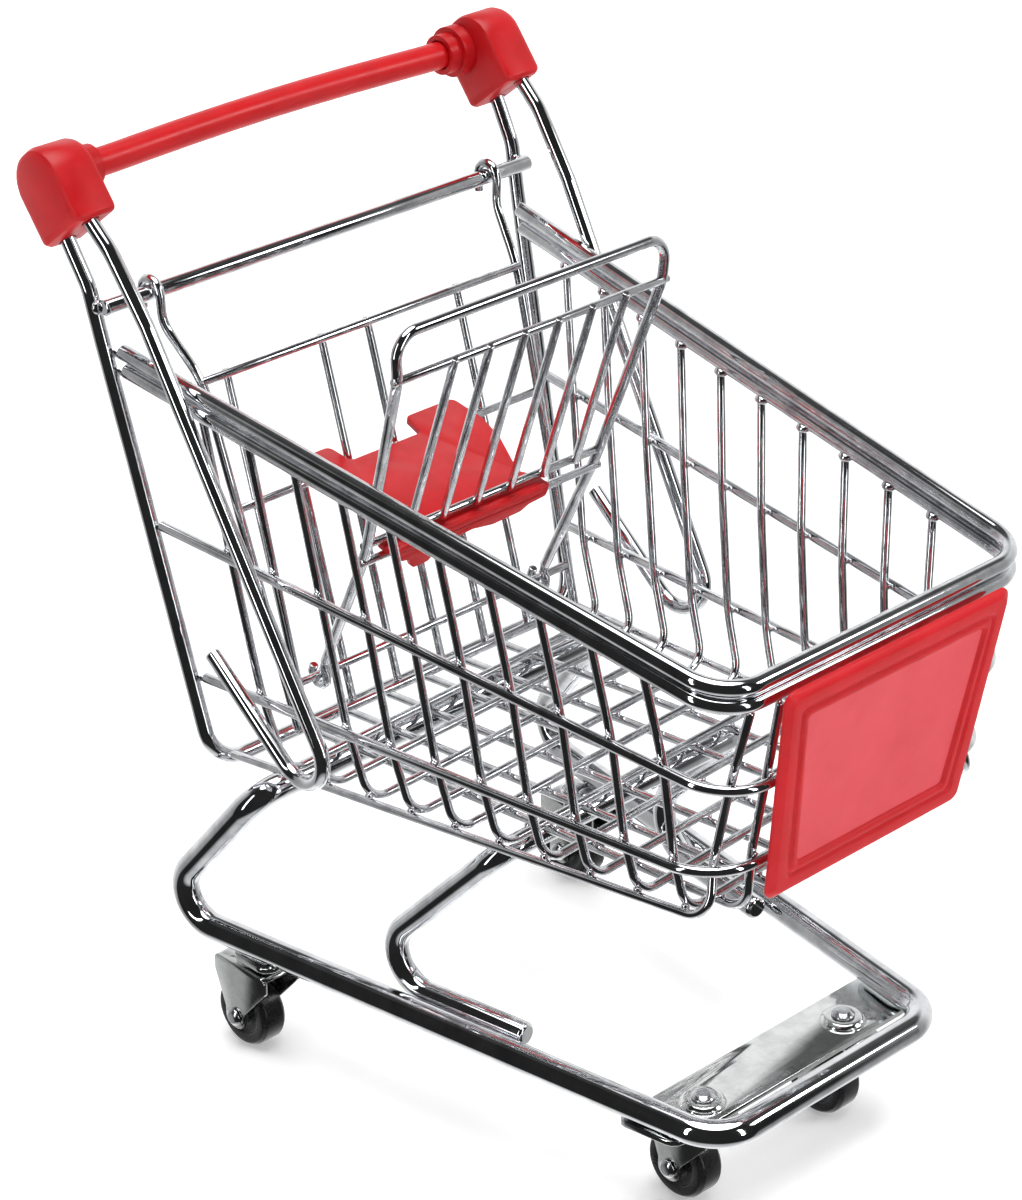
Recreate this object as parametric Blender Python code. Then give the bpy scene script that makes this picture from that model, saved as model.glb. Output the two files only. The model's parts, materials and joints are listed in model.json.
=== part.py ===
"""Miniature wire shopping trolley on four swivel casters, at rest, in metres with +Z up.

The nose points along -Y and the handle along +Y. X = 0 is the plane of symmetry.
The driving sizes below are in millimetres, with Y counted from the front bar of the base frame.
"""

import math

import bmesh
import bpy
from mathutils import Matrix, Vector

MM = 0.001
Y_MID = 53.51  # middle of the trolley's length, so that the origin is at the centre of its footprint

# Wire gauges (radii)
R_BASE = 2.0
R_MID_SUPPORT = 1.75
R_FRAME = 1.15
R_RIM = 1.15
R_RING = 0.75
R_WIRE = 0.625
R_SEAT_BAR = 0.8
R_HANDLE = 2.05
GAP = 0.2

# Base frame
BASE_Z = 18.5
BASE_HALF = 21.84
BASE_SPLAY = 0.1643
BASE_CORNER = 6.3

# Basket
FLOOR_Z, FLOOR_SLOPE = 55.6, -0.094
HOOPS = 10
HOOP_SKEW = 3.0
FLOOR_WIRE_X = (3.8, 11.5, 19.1)
EDGE_WIRE_X = 26.2
RING_CORNER = 8.0

# Gate (rear flap) and its hinge rod
GATE_AXIS_Y, GATE_AXIS_Z = 101.3, 113.8
SEAT_AXIS_Y, SEAT_AXIS_Z = 79.74, 58.5

# Casters
WHEEL_R, WHEEL_W = 5.3, 4.4
FORK_W, FORK_T = 6.8, 0.6
TRAIL = 3.0
FORK_TOP = 14.7
REAR_CASTER = (33.5, 80.4)
FRONT_CASTER = (14.4, 10.2)

for existing in list(bpy.data.objects):
    bpy.data.objects.remove(existing, do_unlink=True)


def material(name, colour, roughness, metallic):
    mat = bpy.data.materials.new(name)
    mat.use_nodes = True
    shader = mat.node_tree.nodes["Principled BSDF"]
    shader.inputs["Base Color"].default_value = (*colour, 1.0)
    shader.inputs["Roughness"].default_value = roughness
    shader.inputs["Metallic"].default_value = metallic
    return mat


def P(x, y, z):
    return Vector((x * MM, (y - Y_MID) * MM, z * MM))


def fillet(points, radii, cyclic=False, step=13.0):
    """A polyline with each corner replaced by an arc of the given radius, as points about `step` degrees apart."""
    count = len(points)
    out = []
    for i, point in enumerate(points):
        here = Vector(point)
        radius = radii[i]
        if radius <= 0 or (not cyclic and i in (0, count - 1)):
            out.append(here)
            continue
        before = Vector(points[i - 1])
        after = Vector(points[(i + 1) % count])
        a = (before - here).normalized()
        b = (after - here).normalized()
        turn = math.pi - a.angle(b)
        if turn < math.radians(2):
            out.append(here)
            continue
        tangent = radius * math.tan(turn / 2)
        start = here + a * tangent
        bisector = (a + b).normalized()
        centre = here + bisector * (radius / math.cos(turn / 2))
        pieces = max(2, math.ceil(math.degrees(turn) / step))
        first = start - centre
        axis = first.cross(here + b * tangent - centre)
        axis.normalize()
        for j in range(pieces + 1):
            angle = turn * j / pieces
            side = axis.cross(first)
            out.append(centre + first * math.cos(angle) + side * math.sin(angle))
    return out


def rod_curve(name, points, radius, cyclic=False, bevel=1):
    curve = bpy.data.curves.new(name, "CURVE")
    curve.dimensions = "3D"
    curve.bevel_depth = radius * MM
    curve.bevel_resolution = bevel
    curve.use_fill_caps = True
    curve.twist_mode = "MINIMUM"
    spline = curve.splines.new("POLY")
    spline.points.add(len(points) - 1)
    for target, point in zip(spline.points, points):
        target.co = (*P(*point), 1.0)
    spline.use_cyclic_u = cyclic
    spline.use_smooth = True
    return curve


def rod(name, points, radius, mat, radii=None, cyclic=False, bevel=1, step=13.0):
    """One bent rod or wire: a centre line in millimetres, swept with a round section."""
    if radii is not None:
        points = fillet(points, radii, cyclic, step)
    curve = rod_curve(name, points, radius, cyclic, bevel)
    curve.materials.append(mat)
    obj = bpy.data.objects.new(name, curve)
    bpy.context.scene.collection.objects.link(obj)
    return obj


def mesh_object(name, verts, faces, mat, smooth=False):
    mesh = bpy.data.meshes.new(name)
    mesh.from_pydata([tuple(v) for v in verts], [], faces)
    work = bmesh.new()
    work.from_mesh(mesh)
    bmesh.ops.remove_doubles(work, verts=work.verts, dist=1e-6)
    bmesh.ops.recalc_face_normals(work, faces=work.faces)
    work.to_mesh(mesh)
    work.free()
    mesh.materials.append(mat)
    mesh.polygons.foreach_set("use_smooth", [smooth] * len(mesh.polygons))
    obj = bpy.data.objects.new(name, mesh)
    bpy.context.scene.collection.objects.link(obj)
    return obj


def helper(obj):
    obj.hide_render = True
    obj.display_type = "WIRE"
    return obj


def curve_mesh(curves, name):
    """The tubes of several curves in one mesh, each of them closed."""
    verts, faces = [], []
    for curve in curves:
        holder = bpy.data.objects.new("holder", curve)
        bpy.context.scene.collection.objects.link(holder)
        bpy.context.view_layer.update()
        graph = bpy.context.evaluated_depsgraph_get()
        made = bpy.data.meshes.new_from_object(holder.evaluated_get(graph))
        base = len(verts)
        verts.extend(v.co.copy() for v in made.vertices)
        faces.extend([base + i for i in polygon.vertices] for polygon in made.polygons)
        bpy.data.objects.remove(holder, do_unlink=True)
        bpy.data.meshes.remove(made)
        bpy.data.curves.remove(curve)
    return verts, faces


def boolean(obj, other, operation, use_self=False):
    modifier = obj.modifiers.new(operation.title(), "BOOLEAN")
    modifier.operation = operation
    modifier.solver = "EXACT"
    modifier.use_self = use_self
    modifier.object = other
    return modifier


def grid(name, wires, mat):
    """A welded grille: several wires joined into one body. Each wire is (points, radius, corner radii or None)."""
    curves = []
    for i, (points, radius, radii) in enumerate(wires):
        if radii is not None:
            points = fillet(points, radii, step=18.0)
        curves.append(rod_curve(f"{name}_{i}", points, radius))
    first_verts, first_faces = curve_mesh(curves[:1], name)
    obj = mesh_object(name, first_verts, first_faces, mat, smooth=True)
    rest_verts, rest_faces = curve_mesh(curves[1:], name)
    rest = helper(mesh_object(f"{name}_wires", rest_verts, rest_faces, mat, smooth=True))
    boolean(obj, rest, "UNION", use_self=True)
    return obj


def lathe(profile, axis, centre, segments):
    """Vertices and faces of a closed (radius, height) profile turned about an axis through a centre."""
    verts, faces = [], []
    rows = len(profile)
    for j in range(segments):
        angle = 2 * math.pi * j / segments
        for radius, height in profile:
            a, b = radius * math.cos(angle), radius * math.sin(angle)
            if axis == "X":
                verts.append(P(centre[0] + height, centre[1] + a, centre[2] + b))
            else:
                verts.append(P(centre[0] + a, centre[1] + b, centre[2] + height))
    for j in range(segments):
        k = (j + 1) % segments
        for i in range(rows - 1):
            faces.append([j * rows + i, k * rows + i, k * rows + i + 1, j * rows + i + 1])
    return verts, faces, rows


def turned(name, profile, axis, centre, mat, segments=16, ring=False):
    """A turned piece. A solid one starts and ends on the axis; a ring's profile closes on itself."""
    if ring:
        profile = profile + profile[:1]
    verts, faces, rows = lathe(profile, axis, centre, segments)
    faces = [list(dict.fromkeys(face)) for face in faces]
    mesh = bpy.data.meshes.new(name)
    mesh.from_pydata([tuple(v) for v in verts], [], faces)
    work = bmesh.new()
    work.from_mesh(mesh)
    bmesh.ops.remove_doubles(work, verts=work.verts, dist=1e-7)
    bmesh.ops.dissolve_degenerate(work, edges=work.edges, dist=1e-8)
    bmesh.ops.recalc_face_normals(work, faces=work.faces)
    work.to_mesh(mesh)
    work.free()
    mesh.materials.append(mat)
    mesh.polygons.foreach_set("use_smooth", [True] * len(mesh.polygons))
    obj = bpy.data.objects.new(name, mesh)
    bpy.context.scene.collection.objects.link(obj)
    return obj


def loops_solid(name, loops, mat, smooth=False):
    """A solid from a stack of closed outlines with the same number of points, capped at both ends."""
    count = len(loops[0])
    verts = [v for loop in loops for v in loop]
    faces = [list(range(count))[::-1]]
    for i in range(len(loops) - 1):
        for j in range(count):
            k = (j + 1) % count
            faces.append([i * count + j, i * count + k, (i + 1) * count + k, (i + 1) * count + j])
    faces.append([(len(loops) - 1) * count + j for j in range(count)])
    return mesh_object(name, verts, faces, mat, smooth)


def arc_corner_outline(corners, radius, pieces=4):
    """A flat polygon (2-D corners) with every corner rounded: `radius` is one number or one per corner."""
    radii = [radius] * len(corners) if isinstance(radius, (int, float)) else radius
    flat = [(u, v, 0.0) for u, v in corners]
    count = len(flat)
    out = []
    for i, point in enumerate(flat):
        here, before, after = Vector(point), Vector(flat[i - 1]), Vector(flat[(i + 1) % count])
        a, b = (before - here).normalized(), (after - here).normalized()
        turn = math.pi - a.angle(b)
        r = radii[i]
        if r <= 0:
            out.append((here.x, here.y))
            continue
        tangent = r * math.tan(turn / 2)
        centre = here + (a + b).normalized() * (r / math.cos(turn / 2))
        first = here + a * tangent - centre
        axis = first.cross(here + b * tangent - centre).normalized()
        for j in range(pieces + 1):
            angle = turn * j / pieces
            q = centre + first * math.cos(angle) + axis.cross(first) * math.sin(angle)
            out.append((q.x, q.y))
    return out


def prism(name, outline, place, low, high, mat, bevel=0.0, smooth=False):
    """A plate or block: a 2-D outline raised from `low` to `high`, put in space by place(u, v, height)."""
    loops = [[place(u, v, low) for u, v in outline], [place(u, v, high) for u, v in outline]]
    obj = loops_solid(name, loops, mat, smooth)
    if bevel > 0:
        modifier = obj.modifiers.new("Bevel", "BEVEL")
        modifier.width = bevel * MM
        modifier.segments = 2
        modifier.limit_method = "ANGLE"
        modifier.angle_limit = math.radians(50)
    return obj


def box(name, low, high, mat):
    outline = [(low[0], low[1]), (high[0], low[1]), (high[0], high[1]), (low[0], high[1])]
    return prism(name, outline, lambda u, v, h: P(u, v, h), low[2], high[2], mat)


def cylinder(name, start, end, radius, mat, segments=16):
    """A straight round bar between two points given in millimetres."""
    a, b = P(*start), P(*end)
    along = (b - a).normalized()
    side = along.orthogonal().normalized()
    up = along.cross(side)
    loops = []
    for centre in (a, b):
        loops.append(
            [
                centre + (side * math.cos(t) + up * math.sin(t)) * radius * MM
                for t in (2 * math.pi * j / segments for j in range(segments))
            ]
        )
    return loops_solid(name, loops, mat, smooth=True)


def mirrored(points):
    """The right-hand half of a centre line, from x = 0 or more outwards, continued as its mirror image."""
    other = [(-x, y, z) for x, y, z in reversed(points)]
    return other + list(points)


CHROME = material("chrome_wire", (0.72, 0.73, 0.75), 0.12, 1.0)
CHROME_FRAME = material("chrome_frame", (0.70, 0.71, 0.73), 0.15, 1.0)
RED = material("red_plastic", (0.72, 0.015, 0.02), 0.3, 0.0)
RED_SIGN = material("red_sign", (0.62, 0.01, 0.02), 0.35, 0.0)
HANDLE_MAT = material("handle_plastic", (0.60, 0.01, 0.015), 0.3, 0.0)
ZINC = material("zinc_stamping", (0.62, 0.63, 0.65), 0.28, 1.0)
STEEL = material("rivet_steel", (0.66, 0.67, 0.69), 0.2, 1.0)
TYRE = material("wheel_black", (0.02, 0.02, 0.022), 0.45, 0.0)


def rail_x(y):
    return BASE_HALF + BASE_SPLAY * y


def floor_z(y):
    return FLOOR_Z + FLOOR_SLOPE * y


# ---------------------------------------------------------------- base frame
base_half = [
    (rail_x(79.0), 79.0, 44.0),
    (rail_x(99.0), 99.0, BASE_Z),
    (rail_x(0.0), 0.0, BASE_Z),
]
base_loop = [(-x, y, z) for x, y, z in base_half] + base_half[::-1]
rod("base_frame_rod", base_loop, R_BASE, CHROME_FRAME, radii=[5.0, 5.5, BASE_CORNER, BASE_CORNER, 5.5, 5.0], cyclic=True, bevel=2)

support_z = 19.3


def support_x(y):
    return rail_x(y) - 4.05


support_half = [
    (support_x(39.6), 39.6, 47.6),
    (support_x(65.6), 65.6, support_z),
    (support_x(35.3), 35.3, support_z),
]
rod("mid_support_rod", mirrored(support_half), R_MID_SUPPORT, CHROME_FRAME, radii=[0, 5.9, 5.0, 5.0, 5.9, 0], bevel=2)


# ------------------------------------------------------- rear frame and braces
def post_x(z):
    return 40.5 - (121.7 - z) * 0.0615


def brace_x(z):
    return 37.2 + (z - 52.9) * 0.0450


post_line = [(87.0, 46.0), (88.9, 53.6), (98.4, 91.4), (102.9, 108.6), (104.6, 116.0), (108.3, 122.2), (110.7, 125.7)]
posts = [(post_x(z), y, z) for y, z in post_line]
posts[-1] = (posts[-2][0], *post_line[-1])
rod("rear_frame_rod", mirrored(posts), R_FRAME, CHROME_FRAME, radii=[0, 0, 6, 0, 0, 0, 6.0, 6.0, 0, 0, 0, 6, 0, 0], bevel=2)

brace_line = [(84.1, 66.3), (48.2, 37.5), (92.3, 113.6), (99.0, 122.8), (102.6, 125.9), (105.6, 128.6)]
for sign, side in ((-1, "left"), (1, "right")):
    path = [(sign * brace_x(z if i != 1 else 52.0), y, z) for i, (y, z) in enumerate(brace_line)]
    path[-1] = (path[-2][0], *brace_line[-1])
    rod(f"brace_rod_{side}", path, R_FRAME, CHROME_FRAME, radii=[0, 5.0, 8, 8, 0, 0], bevel=2, step=20)

rod("gate_hinge_rod", [(-40.3, GATE_AXIS_Y, GATE_AXIS_Z), (40.3, GATE_AXIS_Y, GATE_AXIS_Z)], R_FRAME, CHROME_FRAME, bevel=2)


# --------------------------------------------------------------- basket rods
def rim(y, drop=0.0):
    return (29.5 + 0.0853 * y, y, 91.9 + 0.1496 * y - drop)


def mid_ring(y):
    return (28.1 + 0.099 * y, y, 76.0 + 0.0659 * y)


def low_ring(y):
    return (27.7 + 0.0891 * y, y, 62.8 - 0.0349 * y)


RIM_PITCH = 2 * R_RIM + GAP
for name, drop, rear in (("rim_rod_upper", 0.0, 100.7), ("rim_rod_lower", RIM_PITCH, 100.0)):
    rod(name, mirrored([rim(-5.0, drop), rim(rear, drop)]), R_RIM, CHROME, radii=[0, 6.5, 6.5, 0], bevel=2)
rod("mid_ring", mirrored([mid_ring(-4.9), mid_ring(94.6)]), R_RING, CHROME, radii=[0, RING_CORNER, RING_CORNER, 0])
rod("low_ring", mirrored([low_ring(-2.7), low_ring(88.6)]), R_RING, CHROME, radii=[0, RING_CORNER, RING_CORNER, 0])

RING_IN = R_RING + R_WIRE + 0.15


def hoop_side(k, sign):
    """One side of a hoop, from the rim down to the floor. The hoops are welded in slightly askew: +X sits further back."""
    back = HOOP_SKEW * (sign + 1) / 2
    y_rim, y_mid, y_low, y_floor = (
        first + pitch * k + back for first, pitch in ((8.7, 8.6), (7.0, 8.44), (5.3, 8.2), (3.4, 7.94))
    )
    top = rim(y_rim, RIM_PITCH + R_RIM + 0.25)
    return [
        (sign * (top[0] - 0.7), y_rim, top[2]),
        (sign * (mid_ring(y_mid)[0] - RING_IN), y_mid, mid_ring(y_mid)[2]),
        (sign * (low_ring(y_low)[0] - RING_IN), y_low, low_ring(y_low)[2]),
        (sign * (low_ring(y_floor)[0] - RING_IN - 0.35), y_floor, floor_z(y_floor)),
    ]


for k in range(HOOPS):
    line = hoop_side(k, -1) + hoop_side(k, 1)[::-1]
    rod(f"hoop_wire_{k + 1:02d}", line, R_WIRE, CHROME, radii=[0, 0, 0, 3.5, 3.5, 0, 0, 0], step=18)


def floor_wire(name, x):
    """One lengthwise wire under the hoops: along the floor, then up the nose to the rim."""
    under = 2 * R_WIRE + 0.15
    y_rear = 85.2
    points = [
        (x, y_rear, floor_z(y_rear) - under),
        (x, -0.75, floor_z(0) - under),
        (x, -1.15, low_ring(-2.7)[2]),
        (x, -3.35, mid_ring(-4.9)[2]),
        (x, -5.2, 87.0),
    ]
    rod(name, points, R_WIRE, CHROME, radii=[0, 4.0, 0, 0, 0], step=18)


def edge_wire(name, sign):
    """The outermost lengthwise wire follows the spreading corner of the hoops and rises inside the corners of the rings."""
    rear = 85.2
    points = [
        (sign * (EDGE_WIRE_X + 0.0886 * rear), rear, floor_z(rear) + 0.25),
        (sign * EDGE_WIRE_X, -0.9, floor_z(0) + 0.15),
        (sign * 24.1, 0.8, low_ring(-2.7)[2]),
        (sign * 23.85, -1.6, mid_ring(-4.9)[2]),
        (sign * 23.6, -4.3, 87.0),
    ]
    rod(name, points, R_WIRE, CHROME, radii=[0, 3.6, 0, 0, 0], step=18)


edge_wire("floor_wire_1", -1)
for i, x in enumerate([-x for x in reversed(FLOOR_WIRE_X)] + list(FLOOR_WIRE_X)):
    floor_wire(f"floor_wire_{i + 2}", x)
edge_wire("floor_wire_8", 1)


# ---------------------------------------------------------------- sign panel
SIGN_TOP_Z, SIGN_BOTTOM_Z = 90.1, 57.0
SIGN_TOP_HALF, SIGN_BOTTOM_HALF = 21.7, 18.9
SIGN_TILT = 0.1429
SIGN_FOOT_Y = -3.2844  # back of the panel at its bottom edge


def sign_place(u, v, depth):
    """(u, v) on the panel, v up its slope from the bottom edge; depth is how far it stands out of the back plane."""
    lean = math.atan(SIGN_TILT)
    y = SIGN_FOOT_Y - v * math.sin(lean) - depth * math.cos(lean)
    z = SIGN_BOTTOM_Z + v * math.cos(lean) - depth * math.sin(lean)
    return P(u, y, z)


sign_height = (SIGN_TOP_Z - SIGN_BOTTOM_Z) / math.cos(math.atan(SIGN_TILT))


def sign_loop(inset, depth, radius):
    top, bottom = SIGN_TOP_HALF - inset, SIGN_BOTTOM_HALF - inset
    corners = [(-bottom, inset), (bottom, inset), (top, sign_height - inset), (-top, sign_height - inset)]
    return [sign_place(u, v, depth) for u, v in arc_corner_outline(corners, radius)]


loops_solid(
    "sign_panel",
    [
        sign_loop(0.0, 0.0, 1.6),
        sign_loop(0.0, 0.5, 1.6),
        sign_loop(0.9, 1.2, 1.4),
        sign_loop(2.6, 1.2, 1.2),
        sign_loop(2.9, 0.9, 1.1),
        sign_loop(3.3, 0.9, 1.0),
        sign_loop(3.6, 1.2, 1.0),
        sign_loop(4.2, 1.2, 0.9),
        sign_loop(4.6, 0.75, 0.8),
    ],
    RED_SIGN,
)

# --------------------------------------------------------- handle and caps
BAR_Y, BAR_Z = 112.3, 129.6
CAP_IN, CAP_OUT = 36.6, 43.6
CAP_HALF, CAP_HIGH, CAP_LEAN = 5.4, 12.6, 39.0
CAP_BASE = (105.6, 124.0)
TUBE_END = 40.6
bow = [(-TUBE_END, BAR_Y, BAR_Z), (-30.9, BAR_Y, BAR_Z)]
for j in range(1, 8):
    t = -30.9 + 61.8 * j / 8
    lift = 0.7 * math.cos(math.pi * t / 61.8)
    bow.append((t, BAR_Y + lift * 0.7, BAR_Z + lift * 0.7))
bow += [(30.9, BAR_Y, BAR_Z), (TUBE_END, BAR_Y, BAR_Z)]
rod("handle_tube", bow, R_HANDLE, HANDLE_MAT, bevel=4)

CAP_UP = (math.sin(math.radians(CAP_LEAN)), math.cos(math.radians(CAP_LEAN)))


def cap_point(w, u, x):
    y = CAP_BASE[0] - CAP_UP[1] * w + CAP_UP[0] * u
    z = CAP_BASE[1] + CAP_UP[0] * w + CAP_UP[1] * u
    return P(x, y, z)


def cap_loop(inset, x):
    half, high = CAP_HALF - inset, CAP_HIGH - inset
    corners = [(-half, inset), (half, inset), (half, high), (-half, high)]
    outline = arc_corner_outline(corners, [0.8, 0.8, 5.0 - inset, 5.0 - inset], pieces=5)
    return [cap_point(w, u, x) for w, u in outline]


for sign, side in ((-1, "left"), (1, "right")):
    cap = loops_solid(
        f"handle_cap_{side}",
        [
            cap_loop(0.9, sign * CAP_IN),
            cap_loop(0.25, sign * (CAP_IN + 0.25)),
            cap_loop(0.0, sign * (CAP_IN + 0.9)),
            cap_loop(0.0, sign * (CAP_OUT - 1.2)),
            cap_loop(0.35, sign * (CAP_OUT - 0.35)),
            cap_loop(1.2, sign * CAP_OUT),
        ],
        RED,
    )
    collar = helper(cylinder(f"collar_{side}", (sign * 32.6, BAR_Y, BAR_Z), (sign * 38.0, BAR_Y, BAR_Z), 3.0, RED))
    boolean(cap, collar, "UNION")
    shoulder = helper(cylinder(f"shoulder_{side}", (sign * 34.6, BAR_Y, BAR_Z), (sign * 38.0, BAR_Y, BAR_Z), 3.8, RED))
    boolean(cap, shoulder, "UNION")
    bore = helper(cylinder(f"bore_{side}", (sign * 30.0, BAR_Y, BAR_Z), (sign * 40.9, BAR_Y, BAR_Z), R_HANDLE + GAP, RED))
    boolean(cap, bore, "DIFFERENCE")
    post_end, post_start = posts[-1], posts[-2]
    brace_end = (path[-1][0], *brace_line[-1])
    brace_start = (path[-1][0], *brace_line[-2])
    for which, start, end in (("post", post_start, post_end), ("brace", brace_start, brace_end)):
        direction = (Vector(end) - Vector(start)).normalized()
        low = Vector(start) - direction * 6
        high = Vector(end) + direction * 0.3
        hole = helper(
            cylinder(f"{which}_socket_{side}", (sign * end[0], low.y, low.z), (sign * end[0], high.y, high.z), R_FRAME + GAP, RED, 12)
        )
        boolean(cap, hole, "DIFFERENCE")


# --------------------------------------------------------------------- gate
def gate_y(z):
    return 93.1 + 0.305 * (z - 102.3)


def gate_side(z):
    return 30.1 + (z - 102.3) * 0.05


GATE_TOP_Z, GATE_MID_Z, GATE_A_Z, GATE_B_Z = 102.3, 84.3, 58.5, 52.4
loop_r = R_FRAME + 0.7 + 0.15
gate_wires = []
for sign in (-1, 1):
    # The side wire ends in a hook over the hinge rod.
    lower = [
        (sign * gate_side(GATE_B_Z), gate_y(GATE_B_Z), GATE_B_Z),
        (sign * gate_side(GATE_TOP_Z), gate_y(GATE_TOP_Z), GATE_TOP_Z),
        (sign * 31.8, GATE_AXIS_Y - loop_r, 109.8),
    ]
    hook = [
        (sign * 32.0, GATE_AXIS_Y + loop_r * math.cos(t), GATE_AXIS_Z + loop_r * math.sin(t))
        for t in (math.pi * (1 - j / 6) for j in range(7))
    ]
    tail = [(sign * 32.0, GATE_AXIS_Y + loop_r - 0.1, 110.9)]
    gate_wires.append((lower + hook + tail, 0.7, None))
for z, reach in ((GATE_TOP_Z, 0.5), (GATE_MID_Z, 0.5), (GATE_A_Z, 0.4), (GATE_B_Z, 0.4)):
    half_width = gate_side(z) + reach
    offset = 0.0
    gate_wires.append(([(-half_width, gate_y(z) + offset, z), (half_width, gate_y(z) + offset, z)], R_WIRE, None))
for k in range(6):
    # Wires 1 and 4 stop at the middle bar, which leaves the two leg openings.
    x = -25.2 + 8.75 * k
    low, high = GATE_B_Z - 0.3, (GATE_MID_Z + 0.2 if k in (1, 4) else GATE_TOP_Z + 0.3)
    gate_wires.append(([(x, gate_y(low) + 0.9, low), (x, gate_y(high) + 0.9, high)], R_WIRE, None))
grid("gate_grille", gate_wires, CHROME)

# --------------------------------------------------------------- seat panel
SLOT_Z = 82.0
BAR_HIGH = (68.4, 83.4)
BAR_LOW = (68.8, 80.6)
PANEL_TOP = (25.6, 58.4, 118.6)
panel_wires = []
side = [
    (21.8, SEAT_AXIS_Y - 1.2, SEAT_AXIS_Z + 2.4),
    (22.4, 68.6, 82.0),
    (25.1, 58.6, 112.0),
    PANEL_TOP,
]
panel_wires.append((mirrored(side[::-1]), R_SEAT_BAR, [0, 0, 0, 3.5, 3.5, 0, 0, 0]))
panel_wires.append(([(-26.1, 58.5, 112.0), (26.1, 58.5, 112.0)], R_WIRE, None))
panel_wires.append(([(-23.3, *BAR_HIGH), (23.3, *BAR_HIGH)], R_WIRE, None))
panel_wires.append(([(-23.3, *BAR_LOW), (23.3, *BAR_LOW)], R_WIRE, None))
for k in range(6):
    x = -15.3 + 6.5 * k
    panel_wires.append(([(x, 57.9, 112.5), (x, 67.7, 83.2)], R_WIRE, None))
for sign in (-1, 1):
    # A hook at the foot of each side wire turns on the lowest bar of the gate.
    ring = [
        (sign * 21.8, SEAT_AXIS_Y + 1.6 * math.cos(t), SEAT_AXIS_Z + 1.6 * math.sin(t))
        for t in (math.radians(125 + 40 * j) for j in range(8))
    ]
    panel_wires.append(([(sign * 21.8, SEAT_AXIS_Y - 1.5, SEAT_AXIS_Z + 3.0)] + ring, 0.7, None))
grid("seat_panel_grille", panel_wires, CHROME)

# --------------------------------------------------------------- seat plate
PLATE_T = 0.9
HINGE_Y, HINGE_Z = gate_y(GATE_MID_Z), GATE_MID_Z
rise = math.atan2(HINGE_Z + R_WIRE + 0.2 + PLATE_T / 2 - SLOT_Z, HINGE_Y - 68.6)


def plate_point(x, along, height):
    """A point on the flap: `along` counts forwards from above the hinge wire, `height` from its middle plane."""
    y = HINGE_Y - along * math.cos(rise) - height * math.sin(rise)
    z = HINGE_Z + R_WIRE + 0.2 + PLATE_T / 2 - along * math.sin(rise) + height * math.cos(rise)
    return P(x, y, z)


# Right-hand and left-hand edges of the flap, seen from above: two tabs over the hinge wire, a waist, a broad front.
plate_outline = [
    (-15.5, 17.0), (-19.5, 18.2), (-19.5, 21.6), (11.2, 21.6), (11.2, 18.6), (9.6, 16.2),
    (13.6, 8.0), (14.8, 3.0), (14.6, -3.2), (5.2, -3.2), (4.4, 1.2), (-6.0, 1.2), (-9.2, 1.2), (-9.6, -3.2), (-16.0, -3.2), (-16.4, 3.0),
]
outline = arc_corner_outline(plate_outline, [0.8, 1.0, 1.0, 1.0, 1.0, 0.8, 2, 2, 1.0, 1.0, 0.8, 0, 0.8, 1.0, 1.0, 2], pieces=2)
plate = prism("seat_plate", outline, plate_point, -PLATE_T / 2, PLATE_T / 2, RED)
lip_outline = [
    (-17.8, 0.6), (-17.8, -1.8), (-15.9, -2.2), (-15.2, -3.9), (-12.0, -3.8), (-11.0, -2.0), (-4.0, -1.5), (0.0, -2.2),
    (5.4, -2.0), (7.0, -1.3), (10.4, -1.0), (10.4, 0.6),
]
lip_outline = arc_corner_outline(lip_outline, [0, 0.6, 0.6, 0.8, 0.9, 0.8, 1.0, 1.0, 1.0, 0.6, 0.5, 0], pieces=2)
lip = helper(
    prism(
        "seat_plate_lip",
        lip_outline,
        lambda u, v, h: plate_point(u, 20.7 + h, v),
        0.0,
        PLATE_T,
        RED,
    )
)
boolean(plate, lip, "UNION")

# ------------------------------------------------------ caster mounting plates
PLATE_LOW, PLATE_HIGH = 15.35, 16.2
RIVET_R = 0.8
front_half = 24.2
front_outline = arc_corner_outline(
    [(-front_half, 6.0), (front_half, 6.0), (front_half + 1.6, 16.0), (-front_half - 1.6, 16.0)], [2, 2, 1.5, 1.5], pieces=3
)
front_plate = prism("front_caster_plate", front_outline, lambda u, v, h: P(u, v, h), PLATE_LOW, PLATE_HIGH, ZINC)
for sign in (-1, 1):
    x, y = sign * FRONT_CASTER[0], FRONT_CASTER[1]
    boss = helper(
        turned(f"boss_{'left' if sign < 0 else 'right'}", [(0, PLATE_LOW + 0.3), (3.4, PLATE_LOW + 0.3), (3.2, 16.6), (2.7, 17.1), (0, 17.1)], "Z", (x, y, 0), ZINC, 20)
    )
    boolean(front_plate, boss, "UNION")
for sign in (-1, 1):
    x, y = sign * FRONT_CASTER[0], FRONT_CASTER[1]
    hole = helper(cylinder(f"front_hole_{'left' if sign < 0 else 'right'}", (x, y, 14.0), (x, y, 19.0), RIVET_R + 0.06, ZINC, 16))
    boolean(front_plate, hole, "DIFFERENCE")

for sign, side_name in ((-1, "left"), (1, "right")):
    x, y = sign * REAR_CASTER[0], REAR_CASTER[1]
    pad = arc_corner_outline([(x - 3.2, y - 4.2), (x + 3.2, y - 4.2), (x + 3.2, y + 4.2), (x - 3.2, y + 4.2)], 2.2, pieces=4)
    pad_obj = prism(f"rear_caster_plate_{side_name}", pad, lambda u, v, h: P(u, v, h), PLATE_LOW, PLATE_HIGH, ZINC)
    hole = helper(
        turned(
            f"rear_hole_{side_name}",
            [(0, 14.0), (RIVET_R + 0.06, 14.0), (RIVET_R + 0.06, 15.75), (1.7, 15.75), (1.7, 17.0), (0, 17.0)],
            "Z",
            (x, y, 0),
            ZINC,
            20,
        )
    )
    boolean(pad_obj, hole, "DIFFERENCE")

# ------------------------------------------------------------------- casters
AXLE_R = 0.75


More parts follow.
